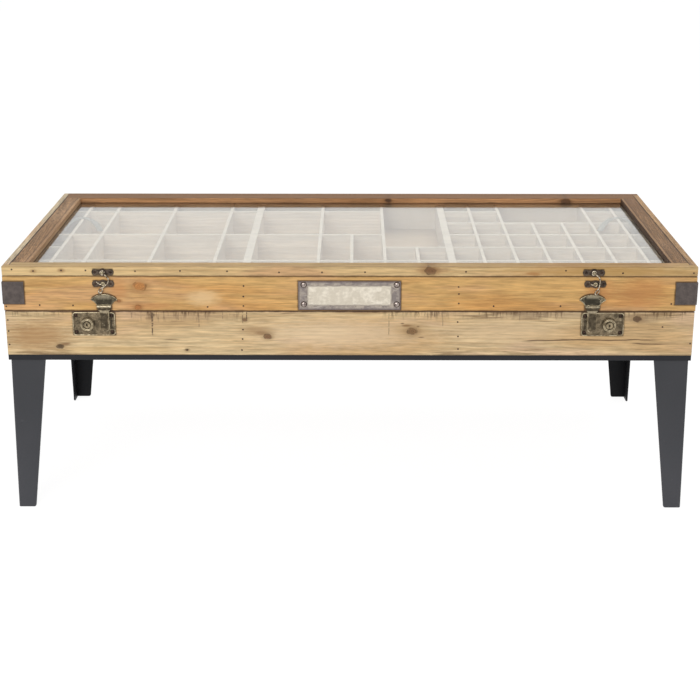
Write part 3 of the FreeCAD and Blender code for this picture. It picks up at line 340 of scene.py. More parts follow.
        ragged = near + (s.noise(s.x * 60.0 + o, s.y * 60.0, s.z * 60.0, 3.0, 0.6) - 0.5) * 1.1
        colour = s.mix(s.step(ragged, 1.05, 0.15) * strength, colour, tint[0] if tint else rgb(74, 50, 32))
    # painted shadow on the wood round and under the almond heads
    for middle, tips, top, half in heads:
        bow = top - tips
        arc = (half * half + bow * bow) / (2 * bow)
        dx = s.x - middle
        out = s.length(dx, s.z - (top - arc)) - arc + (streak - 0.5) * 0.002
        shaded = s.step(out, 0.0036, 0.0008) * s.step(s.z, tips - 0.003, tips - 0.001)
        shaded = shaded * s.step(abs(dx), half + 0.0006, half - 0.0025)
        colour = s.mix(shaded * 0.85, colour, rgb(52, 36, 24))
    # painted contact shadow, with some grime, round the metal fittings
    for (near_x, _, low_z), (far_x, _, high_z) in fittings:
        away = s.from_box((near_x + far_x) / 2, (low_z + high_z) / 2, (far_x - near_x) / 2, (high_z - low_z) / 2)
        away = away + (streak - 0.5) * 0.003
        colour = s.mix(s.step(away, 0.0034, 0.0002) * 0.75, colour, rgb(58, 40, 26))
    for axis, first, last, bottom, top, tint in washes:
        within = s.band(getattr(s, axis), (first - 0.0003, first), (last, last + 0.0003))
        within = within * s.band(s.z, (bottom - 0.0004, bottom), (top, top + 0.0004))
        colour = s.mix(within * 0.85, colour, tint)
    roughness = s.step(fibre, 0.2, 0.8, rough - 0.07, rough + 0.1)
    dress(nodes, s.surface(colour, roughness, s.bump(height, 0.00045, 0.6), Specular_IOR_Level=0.35), BOARD_EDGE)


def board_edges(node, below=0.7, above=0.7, reach=0.0026):
    """Darkened arrises along a board's two long edges on its face."""
    return (("z", low(node).z, reach, below), ("z", high(node).z, reach, above))


def fitting_boxes(*nodes):
    """Boxes of the solids of these nodes, each half of a left and right pair on its own."""
    boxes = []
    for node in nodes:
        points = [vertex.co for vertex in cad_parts[node].data.vertices]
        sides = ([p for p in points if p.x < 0.0], [p for p in points if p.x >= 0.0])
        paired = all(sides) and min(p.x for p in sides[1]) - max(p.x for p in sides[0]) > 0.3
        for part in (sides if paired else (points,)):
            boxes.append([tuple(pick(p[i] for p in part) for i in range(3)) for pick in (min, max)])
    return boxes


def slim(boxes):
    """Boxes within lobed plates, so that the painted shadow and grime follow their rounded outline."""
    return [((x0 + 0.003, y0, z0 + 0.0022), (x1 - 0.003, y1, z1 - 0.0022)) for (x0, y0, z0), (x1, y1, z1) in boxes]


HONEY = rgb(216, 172, 108), rgb(172, 116, 58), rgb(210, 154, 88)
TAN = rgb(222, 195, 150), rgb(176, 138, 92), rgb(206, 168, 118)
UMBER = rgb(152, 118, 84), rgb(104, 76, 50), rgb(170, 138, 106)
STRAW = rgb(206, 188, 158), rgb(170, 146, 116)
BROWN_KNOT, ORANGE_KNOT, BLACK_KNOT = rgb(116, 78, 48), rgb(190, 126, 66), rgb(54, 34, 22)
BLUSH, LIME, DARK_ABOVE_DIVIDERS = rgb(212, 164, 120), rgb(214, 204, 186), rgb(136, 106, 78)

UPPER, LOWER, LID = (mid_level(node) for node in ("upper_front_board", "lower_front_board", "lid_front_rail"))
LOWER_EDGE = high("lower_front_board").z
LID_TOP = high("lid_rear_trim").z


def limed(axis, outside):
    """Inner faces of a board: limewashed up to the dividers' tops, darker above."""
    reach, level = outside - BOARD + 0.0005, high("dividers_left").z
    return ((axis, -reach, reach, 0.0, level, LIME), (axis, -reach, reach, level, 1.0, DARK_ABOVE_DIVIDERS))


def knot(px, py, radius, tint):
    """A knot at a pixel of the front, with its radius in millimetres."""
    return (*on_front(px, py), radius * MM, tint)


def stained(*rows):
    """Stains at pixels of the front: (px, py, reach and rise in millimetres, display colour, strength)."""
    return [(*on_front(px, py), reach * MM, rise * MM, rgb(*tint), strength)
            for px, py, reach, rise, tint, strength in rows]


def marked(*rows):
    """Scratches down the front between two pixel rows: (px, first, last, width in millimetres, strength)."""
    return [(*on_front(px, first), on_front(px, last)[1], width * MM, strength)
            for px, first, last, width, strength in rows]


def run(first, last, level=315):
    return tuple(sorted((on_front(first, level)[0], on_front(last, level)[0])))


def trim_edges(outer, inner):
    """Side trim: dark joint to the rail, painted shade along a groove next to a lighter ridge, painted shade along the
    right trim's inner face and painted light on the left trim's inner face.
    """
    way = 1 if inner > outer else -1
    # right trim: painted shade along its inner face
    face = [("x", inner, 0.0008, 0.85, rgb(70, 50, 36))]
    if way > 0:
        # left trim: painted light along its inner edge and low on its inner face
        face = [("x", inner, 0.0008, 0.9, rgb(190, 152, 116)),
                ("z", low("lid_left_trim").z, 0.0042, 0.6, rgb(214, 178, 140))]
    # a lighter ridge, and painted shade along a groove next to it
    return [("x", inner - way * 0.0028, 0.0022, 0.4, rgb(190, 152, 112)), ("x", inner - way * 0.0066, 0.0011, 0.6),
            *face, ("x", outer, 0.0022, 1.0, rgb(46, 32, 22))]


HEADS, BARREL_SHADOWS = [], []
for side in ("left", "right"):
    lo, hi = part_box(f"hasp_head_{side}")
    centre, half = (lo.x + hi.x) / 2, (hi.x - lo.x) / 2
    HEADS.append((centre, lo.z + 0.0151, hi.z, half))
    # box of painted shadow on the board next to the hasp's barrel and shoulder
    BARREL_SHADOWS.append(((centre - 0.0125, 0.0, low("upper_front_board").z), (centre + 0.0125, 0.0, lo.z + 0.004)))

wood("lid_front_rail lid_front_trim", "lid_front_pine", "x", (rgb(218, 186, 134), rgb(172, 130, 80)), 1,
     heart=(LID - 0.012, FRONT + 0.03), blush=BLUSH, dirt=0.55, contrast=0.5, depth=0.7, crisp=1.7,
     knots=(knot(430.7, 270.9, 7.0, BROWN_KNOT),),
     stains=stained((50, 272, 190, 16, (226, 196, 142), 0.5), (600, 272, 210, 16, (186, 146, 84), 0.75),
                    (431, 270, 40, 8, (136, 92, 58), 0.6), (533, 274, 22, 4, (168, 112, 60), 0.6),
                    (61, 270.4, 9, 5, (140, 96, 56), 0.7), (33, 271, 8, 5, (150, 106, 62), 0.6)),
     edges=board_edges("lid_front_rail", 0.75, 0.35, 0.002), fittings=slim(fitting_boxes("hook_plates")),
     smears=((*run(0, 100, 270), on_front(50, 264)[1], 0.012, 0.10),
             (*run(560, 700, 270), on_front(50, 264)[1], 0.014, 0.12)))
wood("upper_front_board", "upper_front_pine", "x", HONEY, 2, heart=(UPPER + 0.03, FRONT + 0.05), ring=0.0062,
     contrast=0.42, blush=BLUSH, heads=HEADS, dirt=0.4, depth=0.5, crisp=2.4,
     knots=(knot(139.5, 286.2, 8.5, ORANGE_KNOT), knot(138.0, 307.4, 4.5, rgb(180, 116, 64)),
            knot(119.0, 301.0, 2.6, rgb(170, 112, 70))),
     stains=stained((118, 289, 20, 26, (198, 134, 78), 0.5), (600, 291, 34, 30, (190, 120, 68), 0.5),
                    (203, 298, 38, 19, (230, 196, 146), 0.75), (640, 292, 60, 30, (186, 124, 70), 0.6),
                    (150, 306, 60, 8, (188, 122, 72), 0.45), (645, 304, 60, 10, (204, 142, 88), 0.4)),
     edges=board_edges("upper_front_board", 0.75, 0.6),
     fittings=[*slim(fitting_boxes("hook_keepers")), *fitting_boxes("name_plate", "front_corner_plates"), *BARREL_SHADOWS],
     washes=limed("y", REAR))
wood("lower_front_board", "lower_front_pine", "x", TAN, 3, heart=(LOWER - 0.045, FRONT + 0.06), contrast=0.5,
     depth=0.65, crisp=1.9, dirt=0.7,
     smears=((*run(120, 250), LOWER_EDGE, 0.026, 0.15), (*run(450, 585), LOWER_EDGE, 0.03, 0.2),
             (*run(622, 700), LOWER_EDGE, 0.03, 0.16), (*run(0, 70), LOWER_EDGE, 0.02, 0.1),
             (*run(0, 90, 350), on_front(40, 354)[1], -0.02, 0.14),
             (*run(420, 560, 350), on_front(480, 354)[1], -0.014, 0.1)),
     knots=(knot(60.3, 346.2, 4.6, BLACK_KNOT), knot(268.0, 336.6, 5.0, BROWN_KNOT),
            knot(412.2, 331.0, 6.4, rgb(122, 88, 54)), knot(187.0, 349.8, 2.4, rgb(96, 70, 46)),
            knot(637.7, 319.0, 5.5, rgb(84, 58, 40)), knot(245.0, 319.8, 3.4, rgb(120, 86, 58))),
     stains=stained((340, 334, 190, 36, (232, 204, 168), 0.6), (505, 332, 130, 34, (224, 194, 154), 0.5),
                    (258, 331, 40, 12, (160, 124, 82), 0.6), (410, 330, 44, 16, (178, 144, 98), 0.5),
                    (638, 318, 60, 12, (150, 124, 96), 0.6), (184, 316, 120, 10, (184, 154, 120), 0.5),
                    (560, 315, 160, 9, (172, 148, 120), 0.5), (36, 336, 80, 36, (166, 122, 74), 0.7),
                    (66, 344, 14, 4, (120, 84, 52), 0.8), (407, 325.5, 11, 3.4, (140, 106, 68), 0.85),
                    (402.5, 323.5, 4, 1.6, (96, 70, 46), 0.8), (418, 326.5, 3.4, 2.2, (104, 78, 52), 0.7),
                    (421, 337.3, 7, 1.6, (120, 92, 62), 0.75), (261, 333, 14, 4.5, (140, 108, 72), 0.6),
                    (447, 352.5, 46, 3.0, (140, 112, 82), 0.6), (362, 312, 60, 5, (178, 140, 94), 0.6),
                    (120, 350, 120, 10, (206, 170, 112), 0.5)),
     scratches=((*run(117, 246), LOWER_EDGE, 0.026, 0.85), (*run(376, 700), LOWER_EDGE, 0.02, 0.65),
                (*run(0, 70), LOWER_EDGE, 0.014, 0.65)),
     marks=marked((151.6, 312, 336, 1.7, 1.0), (152.4, 312, 326, 1.2, 0.9), (198.6, 312, 328, 1.0, 0.7),
                  (246.5, 312, 322, 1.4, 0.9), (242.5, 312, 324, 1.2, 0.7), (131.5, 312, 319, 0.9, 0.6),
                  (178.0, 312, 322, 0.9, 0.6), (222.6, 312, 320, 0.9, 0.6), (443.0, 312, 327, 0.9, 0.6),
                  (389.0, 313, 336, 1.0, 0.6), (434.5, 312, 318, 1.6, 0.7), (520.0, 312, 322, 1.0, 0.6)),
     cracks=((*run(520, 664, 340), on_front(600, 340.5)[1], 0.0015),
             (*run(628, 672, 345), on_front(650, 344.5)[1], 0.0016)),
     edges=board_edges("lower_front_board", 0.4, 0.95, 0.003),
     fittings=fitting_boxes("lock_plate_left", "lock_plate_right"), blush=rgb(218, 182, 150))
wood("lid_rear_rail lid_rear_trim", "lid_rear_pine", "x", (rgb(206, 154, 108), rgb(142, 98, 64), rgb(178, 128, 84)),
     4, heart=(LID - 0.02, REAR - 0.03), dirt=0.6,
     # painted shade: the whole top of the rear trim and the rear rail's inner face are darkened
     edges=(("z", LID_TOP, 0.0011, 0.85, rgb(112, 84, 58)),
            ("y", low("lid_rear_rail").y, 0.0014, 0.5, rgb(90, 64, 44))),
     washes=(("x", -0.62, low("lid_left_rail").x + 0.0092, 0.0, 1.0, STRAW[0]),),
     knots=((seen(388, 199.5, 1, low("lid_rear_trim").y).x, LID + 0.004, 0.005, BLACK_KNOT),
            (seen(565, 201, 1, low("lid_rear_trim").y).x, LID + 0.002, 0.007, rgb(90, 62, 44))))
wood("glass_stops", "stop_pine", "x", (rgb(84, 62, 44), rgb(56, 40, 28)), 16, heart=(0.3, 0.2), dirt=0.6)
wood("lid_left_trim", "left_trim_pine", "y", UMBER, 5, heart=(LID - 0.03, 0.57), grain_tilt=0.05, dirt=0.6, depth=1.1,
     speckle=0.42, edges=trim_edges(low("lid_left_trim").x, high("lid_left_trim").x))
wood("lid_right_trim", "right_trim_pine", "y", (lit(UMBER[0], 0.72), UMBER[1], rgb(150, 118, 88)), 13,
     heart=(LID - 0.03, -0.55), grain_tilt=-0.05, dirt=0.6, depth=1.1, speckle=0.42,
     stains=((0.24, LID, 0.22, 0.08, rgb(104, 74, 50), 0.55),),
     edges=trim_edges(high("lid_right_trim").x, low("lid_right_trim").x))
wood("lid_left_rail", "lid_side_pine", "y", STRAW, 14, heart=(LID - 0.03, 0.57), blush=BLUSH, dirt=0.6, depth=1.3,
     speckle=0.2, edges=(("x", high("lid_left_rail").x, 0.0022, 1.0, rgb(44, 30, 20)),))
wood("lid_right_rail", "lid_right_side_pine", "y", (rgb(178, 144, 106), rgb(132, 98, 68)), 15,
     heart=(LID - 0.03, -0.57), blush=BLUSH, dirt=0.6, depth=1.3, speckle=0.2,
     edges=(("x", low("lid_right_rail").x, 0.0018, 0.9, rgb(60, 42, 28)),))
wood("upper_rear_board", "upper_rear_pine", "x", HONEY, 6, heart=(UPPER - 0.03, REAR - 0.06), ring=0.0056,
     contrast=0.6, blush=BLUSH, dirt=0.3, depth=0.6,
     knots=((0.21, UPPER + 0.008, 0.008, ORANGE_KNOT), (-0.34, UPPER - 0.012, 0.006, BROWN_KNOT)),
     edges=board_edges("upper_rear_board"), fittings=fitting_boxes("rear_corner_plates"), washes=limed("y", REAR))
wood("lower_rear_board", "lower_rear_pine", "x", TAN, 7, heart=(LOWER + 0.04, REAR - 0.06), ring=0.005, contrast=0.55,
     depth=0.7, dirt=0.5, knots=((-0.12, LOWER + 0.01, 0.009, BROWN_KNOT), (0.42, LOWER - 0.014, 0.006, BLACK_KNOT)),
     edges=board_edges("lower_rear_board"))
wood("upper_left_board upper_right_board", "upper_side_pine", "y", HONEY, 8, heart=(UPPER - 0.04, 0.56), ring=0.0056,
     contrast=0.6, blush=BLUSH, dirt=0.3, depth=0.6, knots=((-0.08, UPPER - 0.006, 0.007, ORANGE_KNOT),),
     edges=board_edges("upper_left_board"), washes=limed("x", high("upper_right_board").x))
wood("lower_left_board lower_right_board lower_partition_left lower_partition_right", "lower_side_pine", "y", TAN, 9,
     heart=(LOWER + 0.05, 0.55), ring=0.005, contrast=0.55, depth=0.7, dirt=0.5,
     knots=((0.11, LOWER + 0.014, 0.008, BROWN_KNOT),), edges=board_edges("lower_left_board"))
wood("lower_floor", "plain_floor_pine", "x", (rgb(176, 142, 104), rgb(140, 104, 70)), 10, heart=(0.2, 0.4), dirt=0.3)
wood("tray_floor", "tray_floor_pine", "x", (rgb(206, 184, 156), rgb(176, 148, 118)), 12, heart=(0.2, 0.4), ring=0.007,
     contrast=0.5, dirt=0.2, depth=0.5)
wood("tray_partition_left tray_partition_right", "washed_pine", "x", (rgb(230, 216, 197), rgb(204, 185, 160)), 11,
     heart=(0.3, 0.3), ring=0.005, contrast=0.4, dirt=0.15, rough=0.7, depth=0.5)


def steel(nodes, name, level, foot, gloss=0.4):
    """Painted steel on these nodes. level: its lightness, lowered as painted shade on the rear legs and the frame;
    foot: the same near the ground, raised as a painted sheen low on the front legs.
    """
    s = Shade(name)
    broad = s.noise(s.x * 6.0, s.y * 6.0, s.z * 5.0, 3.0)
    fine = s.even_noise(420.0, 2.0, 0.6)
    specks = s.even_noise(60.0, 4.0, 0.7)
    colour = s.mix(s.step(broad, 0.3, 0.7), rgb(50, 51, 55), rgb(58, 58, 62))
    colour = s.mix(s.step(specks, 0.64, 0.76) * 0.35, colour, rgb(84, 84, 86))
    # painted sheen and shade: lightness by height, from foot at the ground to level at 0.26 m
    colour = s.scale(colour, s.step(s.z, 0.0, 0.26, foot, level))
    roughness = s.step(broad, 0.3, 0.7, 0.42, 0.55)
    dress(nodes, s.surface(colour, roughness, s.bump(fine, 0.00005, 0.5), Specular_IOR_Level=gloss), STEEL_EDGE)


def bronze(name, dark=(), pale=(), base=rgb(122, 108, 86), bright=rgb(214, 200, 170)):
    """Aged bronze. dark and pale: (x, z, half length, half height, width of the edge, strength) of soft areas,
    mostly painted shade and painted highlights.
    """
    s = Shade(name)
    blotch = s.even_noise(150.0, 4.0, 0.65)
    grit = s.even_noise(520.0, 3.0, 0.6)
    fine = s.even_noise(1500.0, 2.0, 0.6)
    colour = s.mix(s.step(blotch, 0.34, 0.66), lit(base, 0.42), lit(base, 1.35))
    colour = s.mix(s.step(grit, 0.56, 0.7) * 0.7, colour, lit(base, 0.3))
    for areas, tint in ((dark, lit(base, 0.2)), (pale, bright)):
        for x, z, half_x, half_z, edge, strength in areas:
            away = s.from_box(x, z, half_x, half_z) + (grit - 0.5) * edge
            colour = s.mix(s.step(away, edge, 0.0) * strength, colour, tint)
    wear = s.step(grit + (blotch - 0.5) * 0.8, 0.64, 0.82) * 0.55
    colour = s.mix(wear, colour, bright)
    roughness = s.step(blotch, 0.3, 0.7, 0.34, 0.52)
    return s.surface(colour, roughness, s.bump(grit * 0.5 + blotch + fine * 0.2, 0.0003, 0.5), Metallic=0.85)


def worn_metal(name, dark, bright, scale, rough=0.3):
    """Rubbed metal: bright with darker flecks."""
    s = Shade(name)
    blotch = s.even_noise(scale, 3.0, 0.6)
    colour = s.mix(s.step(blotch, 0.38, 0.6), dark, bright)
    s.surface(colour, rough, s.bump(blotch, 0.0001, 0.4), Metallic=0.9)


def corner_steel():
    s = Shade("corner_steel")
    blotch = s.even_noise(90.0, 4.0, 0.6)
    fine = s.even_noise(800.0)
    grit = s.even_noise(330.0, 3.0, 0.6)
    colour = s.mix(s.step(blotch, 0.3, 0.72), rgb(77, 69, 66), rgb(99, 89, 85))
    colour = s.mix(s.step(grit, 0.58, 0.72) * 0.3, colour, rgb(126, 114, 104))
    s.surface(colour, s.step(blotch, 0.3, 0.7, 0.4, 0.58), s.bump(fine + grit, 0.0001, 0.5), Metallic=0.55)
    dress("front_corner_plates rear_corner_plates", s.name, PLATE_EDGE)


def plate():
    """Worn grey metal border, ragged towards a bare cream panel."""
    lo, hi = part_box("name_plate")
    s = Shade("worn_zinc")
    half_x, half_z = (hi.x - lo.x) / 2, (hi.z - lo.z) / 2
    off_x, off_z = abs(s.x - (lo.x + hi.x) / 2), abs(s.z - (lo.z + hi.z) / 2)
    ragged = s.noise(s.x * 95.0, 0.4, s.z * 95.0, 4.0, 0.6) - 0.5
    fine = s.noise(s.x * 620.0, 0.4, s.z * 620.0, 3.0, 0.65)
    scuff = s.noise(s.x * 45.0, 0.4, s.z * 340.0, 3.0, 0.6)
    out = s.larger(off_x - (half_x - 0.0165), off_z - (half_z - 0.0085)) + ragged * 0.008
    metal = s.mix(s.step(ragged, -0.16, 0.18), rgb(134, 124, 120), rgb(182, 170, 156))
    metal = s.mix(s.step(fine, 0.56, 0.72) * 0.7, metal, rgb(96, 86, 82))
    metal = s.mix(s.step(scuff, 0.56, 0.7) * 0.5, metal, rgb(206, 196, 184))
    cream = s.mix(s.step(ragged, -0.1, 0.2), rgb(212, 202, 184), rgb(236, 227, 210))
    cream = s.mix(s.step(scuff, 0.58, 0.74) * 0.5, cream, rgb(178, 164, 142))
    cream = s.mix(s.step(fine, 0.63, 0.74) * 0.35, cream, rgb(150, 132, 110))
    to_outer_edge = s.larger(off_x - half_x, off_z - half_z) + ragged * 0.003
    # darker towards the outer edge
    metal = s.mix(s.step(to_outer_edge, -0.0042, -0.0006) * 0.7, metal, rgb(88, 74, 78))
    line = s.step(abs(out + 0.0006), 0.0012, 0.0003) * 0.35
    colour = s.mix(line, s.mix(s.step(out, 0.0008, -0.0012), metal, cream), rgb(120, 108, 98))
    s.surface(colour, s.step(fine, 0.3, 0.7, 0.4, 0.6), s.bump(fine * 0.4 + ragged, 0.0003, 0.4), Metallic=0.35)
    dress("name_plate", s.name, PLATE_EDGE)


def glass():
    """Clear pane: it mirrors and refracts what is seen in it, and lets the room's light through to the tray."""
    s = Shade("clear_glass")
    shader = s.node("ShaderNodeBsdfPrincipled", {"Base Color": (0.97, 0.985, 0.98), "Roughness": 0.015, "IOR": 1.5,
                                                 "Transmission Weight": 1.0})
    clear = s.node("ShaderNodeBsdfTransparent", {"Color": (0.94, 0.955, 0.95)})
    dress("glass_pane", s.show(s.node("ShaderNodeMixShader", {0: s.rays("Shadow", "Diffuse"), 1: shader, 2: clear})))


def mottled(name, dark, bright, scale, rough, **numbers):
    s = Shade(name)
    s.surface(s.mix(s.step(s.even_noise(scale), 0.35, 0.65), dark, bright), rough, **numbers)


# front legs: painted sheen, lighter towards the ground
steel("leg_front_left leg_front_right", "dark_steel", 1.0, 1.45)
# rear legs: the same paint darkened, painted shade under the case
steel("leg_rear_left leg_rear_right", "shaded_steel", 0.3, 0.35, 0.12)
# frame: the same paint darkened, painted shade under the case
steel("steel_frame", "shaded_frame_steel", 0.53, 0.53, 0.22)
corner_steel()
plate()
glass()
mottled("nail_iron", rgb(58, 44, 36), rgb(86, 66, 52), 900.0, 0.6, Metallic=0.5)
mottled("grey_ribbon", rgb(128, 124, 112), rgb(160, 154, 140), 700.0, 0.8)
bronze("aged_bronze")
bronze("dark_screw", base=rgb(58, 42, 34), bright=rgb(112, 94, 76))
bronze("latch_bronze", base=rgb(86, 74, 64), bright=rgb(148, 132, 110))
worn_metal("rubbed_rim", rgb(126, 112, 88), rgb(196, 182, 152), 160.0)
worn_metal("dull_rim", rgb(112, 100, 80), rgb(174, 162, 134), 200.0)
worn_metal("rubbed_wire", rgb(84, 70, 58), rgb(218, 204, 180), 260.0)
worn_metal("bright_dome", rgb(112, 98, 94), rgb(172, 160, 152), 300.0, 0.22)

dress("dividers_left dividers_middle dividers_right", "washed_pine")
dress("case_hinge_lower_leaves case_hinge_upper_leaves lid_hinge_lower_leaves lid_hinge_upper_leaves", "aged_bronze")
dress("hasp_pins", "rubbed_rim")


def dress_bronze(node, **looks):
    """A bronze of its own for one node."""
    dress(node, bronze(f"{node}_bronze", **looks), PLATE_EDGE)


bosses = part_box("lock_bosses")
BOSS_RADIUS = (bosses[1].z - bosses[0].z) / 2
BOSS_LEVEL = mid_level("lock_bosses")
BOSSES = {"left": bosses[0].x + BOSS_RADIUS, "right": bosses[1].x - BOSS_RADIUS}
CORNER_SHADE = 0.0052  # middle of a dark corner, from the lock plate's edges
# painted shade in the well round each boss
dress("lock_bosses", bronze("boss_bronze", dark=[(x, BOSS_LEVEL, 0.0, 0.0, 0.0088, 0.9) for x in BOSSES.values()]),
      BOSS_EDGE)
for side, inward, roll_highlight, shaded in (("left", 1, 0.6, 0.0032), ("right", -1, 0.3, 0.0052)):
    lo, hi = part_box(f"lock_plate_{side}")
    # painted shade round the corner screws
    corners = [(x, z, 0.0026, 0.0026, 0.0022, 0.95) for x in (lo.x + CORNER_SHADE, hi.x - CORNER_SHADE)
               for z in (lo.z + CORNER_SHADE, hi.z - CORNER_SHADE)]
    # painted shadow on the plate round the boss
    boss_shadow = (BOSSES[side], BOSS_LEVEL, 0.0, 0.0, BOSS_RADIUS + 0.003, 0.75)
    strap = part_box(f"hasp_{side}")
    # painted shadow of the strap on the plate
    strap_shadow = (strap[inward > 0].x + inward * 0.0006, (strap[0].z + hi.z) / 2 + 0.002, 0.0008,
              (hi.z - strap[0].z) / 2 - 0.003, 0.0022, 0.85)
    dress_bronze(f"lock_plate_{side}", dark=[*corners, boss_shadow, strap_shadow])
    lo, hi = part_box(f"lock_plug_{side}")
    # painted shade of the keyhole in the plug's middle
    dress_bronze(f"lock_plug_{side}", dark=[((lo.x + hi.x) / 2, BOSS_LEVEL, 0.0008, 0.0008, 0.0022, 1.0)],
                 base=rgb(160, 144, 116))
    lo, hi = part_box(f"hasp_head_{side}")
    middle, axis = (lo.x + hi.x) / 2, lo.z + 0.0025
    # head: painted shade in its lower part, painted highlights on the roll and across its upper part
    dress_bronze(f"hasp_head_{side}", base=rgb(110, 102, 84),
                 dark=[(middle, axis + 0.0053 + shaded, 0.0125, shaded, 0.003, 0.85)],
                 pale=[(middle, axis + 0.0008, 0.013, 0.001, 0.0016, roll_highlight),
                       (middle, axis + 0.0185, 0.009, 0.001, 0.004, 0.25)])
    # strap: painted shade in the gap under the roll, a darker panel, painted highlights on the roll and the shoulder
    dress_bronze(f"hasp_{side}", dark=[(middle, axis - 0.0046, 0.012, 0.0006, 0.0016, 0.9),
                                       (middle - 0.0014 * inward, axis - 0.026, 0.0046, 0.0125, 0.003, 0.7)],
                 pale=[(middle, axis + 0.0008, 0.0074, 0.001, 0.0016, roll_highlight),
                       (middle, axis - 0.0088, 0.009, 0.001, 0.002, 0.35)])

# Small fasteners


def add_piece(name, data, material, body):
    data.materials.append(MATERIALS[material])
    piece = bpy.data.objects.new(name, data)
    bpy.context.collection.objects.link(piece)
    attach(piece, body)
    return piece


def finish_piece(name, mesh, material, body, smooth=True):
    data = bpy.data.meshes.new(name)
    mesh.to_mesh(data)
    mesh.free()
    for face in data.polygons:
        face.use_smooth = smooth
    return add_piece(name, data, material, body)


def bridge(mesh, one, other):
    """Faces from a ring of vertices to the next ring, or to a tip."""
    for i in range(len(one)):
        j = (i + 1) % len(one)
        mesh.faces.new((one[i], one[j], other[0]) if len(other) == 1 else (one[i], one[j], other[j], other[i]))


def turned(name, profile, spots, material, body, segments=20):
    """Turned pieces of one profile, (radius, height) from the seat up; spots: (place, outward direction)."""
    mesh = bmesh.new()
    for place, outward in spots:
        turn = Vector(outward).to_track_quat("Z", "Y").to_matrix().to_4x4()
        seat = Matrix.Translation(Vector(place)) @ turn
        rings = []
        for reach, height in profile:
            angles = [2 * math.pi * i / segments for i in range(segments if reach else 1)]
            rings.append([mesh.verts.new(seat @ Vector((reach * math.cos(a), reach * math.sin(a), height)))
                          for a in angles])
        for one, other in zip(rings, rings[1:]):
            bridge(mesh, one, other)
        mesh.faces.new(list(reversed(rings[0])))
    return finish_piece(name, mesh, material, body)


def dome(radius, height, steps=5):
    """Profile of a domed head on a short straight rim."""
    rim = height * 0.15
    curve = [(radius * math.cos(a), rim + (height - rim) * math.sin(a))
             for a in (math.pi / 2 * i / steps for i in range(steps))]
    return [(radius, 0.0)] + curve + [(0.0, height)]


NAILS = {
    "glass_lid": [(11.5, 269.5), (33, 271), (61, 270.4), (85.4, 270.4), (135, 271.2), (180, 270.9), (227, 271.3),
                  (279, 272.4), (322, 272.4), (365, 272.2), (466, 271.8), (566, 270.7), (623, 273.2), (694, 273.2)],
    "upper_case": [(5.3, 306.4), (39.7, 305.1), (73, 305.4), (243.5, 286), (243.3, 296.5), (243.4, 306),
                   (207.6, 306.9), (458.7, 287), (458.9, 294), (458.8, 303.5), (493.6, 306.2), (560.5, 306.2),
                   (671.3, 304)],
    "base": [(4, 320), (4, 331), (4.2, 344.5), (243, 329.6), (242.6, 339), (242, 350), (457.6, 322), (458, 336.4),
             (458, 349), (694, 343.6), (187.2, 350), (662.5, 327)],
}
LEVELS, PROUD = (0.2, 0.52, 0.85), 0.00005  # a board's three nails, as shares of its height; seat before the face
random.seed(7)
for body, spots in NAILS.items():
    case = {"glass_lid": "lid", "upper_case": "upper", "base": "lower"}[body]
    boards, levels = ("rail", (0.5,)) if case == "lid" else ("board", LEVELS)
    reach = high(f"{case}_front_{boards}").x - 0.004
    places = []
    for px, py in spots:
        across, up = on_front(px, py)
        places.append(((max(-reach, min(reach, across)), FRONT - PROUD, up), (0, -1, 0)))
    if case != "lid":
        for end, side in ((-1, "left"), (1, "right")):
            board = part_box(f"{case}_{side}_board")
            for across in (-0.268, 0.268):
                for share in levels:
                    spot = (board[end > 0].x + end * PROUD, across + random.uniform(-0.001, 0.001),
                            board[0].z + (board[1].z - board[0].z) * share)
                    places.append((spot, (end, 0, 0)))
    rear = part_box(f"{case}_rear_{boards}")
    for across in (-0.59, -0.2, 0.2, 0.59):
        for share in levels:
            spot = (across + random.uniform(-0.003, 0.003), rear[1].y + PROUD,
                    rear[0].z + (rear[1].z - rear[0].z) * share)
            places.append((spot, (0, 1, 0)))
    turned(f"nails_{case}", [(0.0016, 0.0), (0.0015, 0.00025), (0.0, 0.0003)], places, "nail_iron", body, 10)

plate_low, plate_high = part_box("name_plate")
# height of a dark disc under each dome: painted shade round the dome's edge
DARK_SEAT = 0.0003
dome_places = [((x, plate_low.y, z), (0, -1, 0)) for x in (plate_low.x + 0.0096, plate_high.x - 0.0068)
               for z in (plate_low.z + 0.0105, plate_high.z - 0.0062)]
turned("plate_washers", [(0.0056, 0.0), (0.0054, DARK_SEAT), (0.0, DARK_SEAT)], dome_places, "dark_screw", "upper_case", 28)
turned("plate_domes", [(r, h + DARK_SEAT) for r, h in dome(0.0046, 0.0027, 7)], dome_places, "bright_dome",
       "upper_case", 28)


def slotted_screws(name, spots, radius, body, way=-1):
    """Dark domed screws on a front or rear face, their slots turned differently."""
    turned(name, dome(radius, radius * 0.34), [(spot, (0, way, 0)) for spot in spots], "dark_screw", body, 18)
    mesh = bmesh.new()
    for x, y, z in spots:
        turn = random.uniform(0, math.pi)
        across, along = Vector((math.cos(turn), 0, math.sin(turn))), Vector((-math.sin(turn), 0, math.cos(turn)))
        front = Vector((x, y + way * radius * 0.345, z))
        near, far = ([mesh.verts.new(front + across * (a * radius * 0.72) + along * (b * radius * 0.14)
                                     + Vector((0, lift, 0))) for a, b in ((-1, -1), (1, -1), (1, 1), (-1, 1))]
                     for lift in (0.0, -way * 0.0004))
        mesh.faces.new(near)
        bridge(mesh, far, near)
        mesh.faces.new(far)
    bmesh.ops.recalc_face_normals(mesh, faces=mesh.faces)
    finish_piece(f"{name}_slots", mesh, "nail_iron", body, smooth=False)


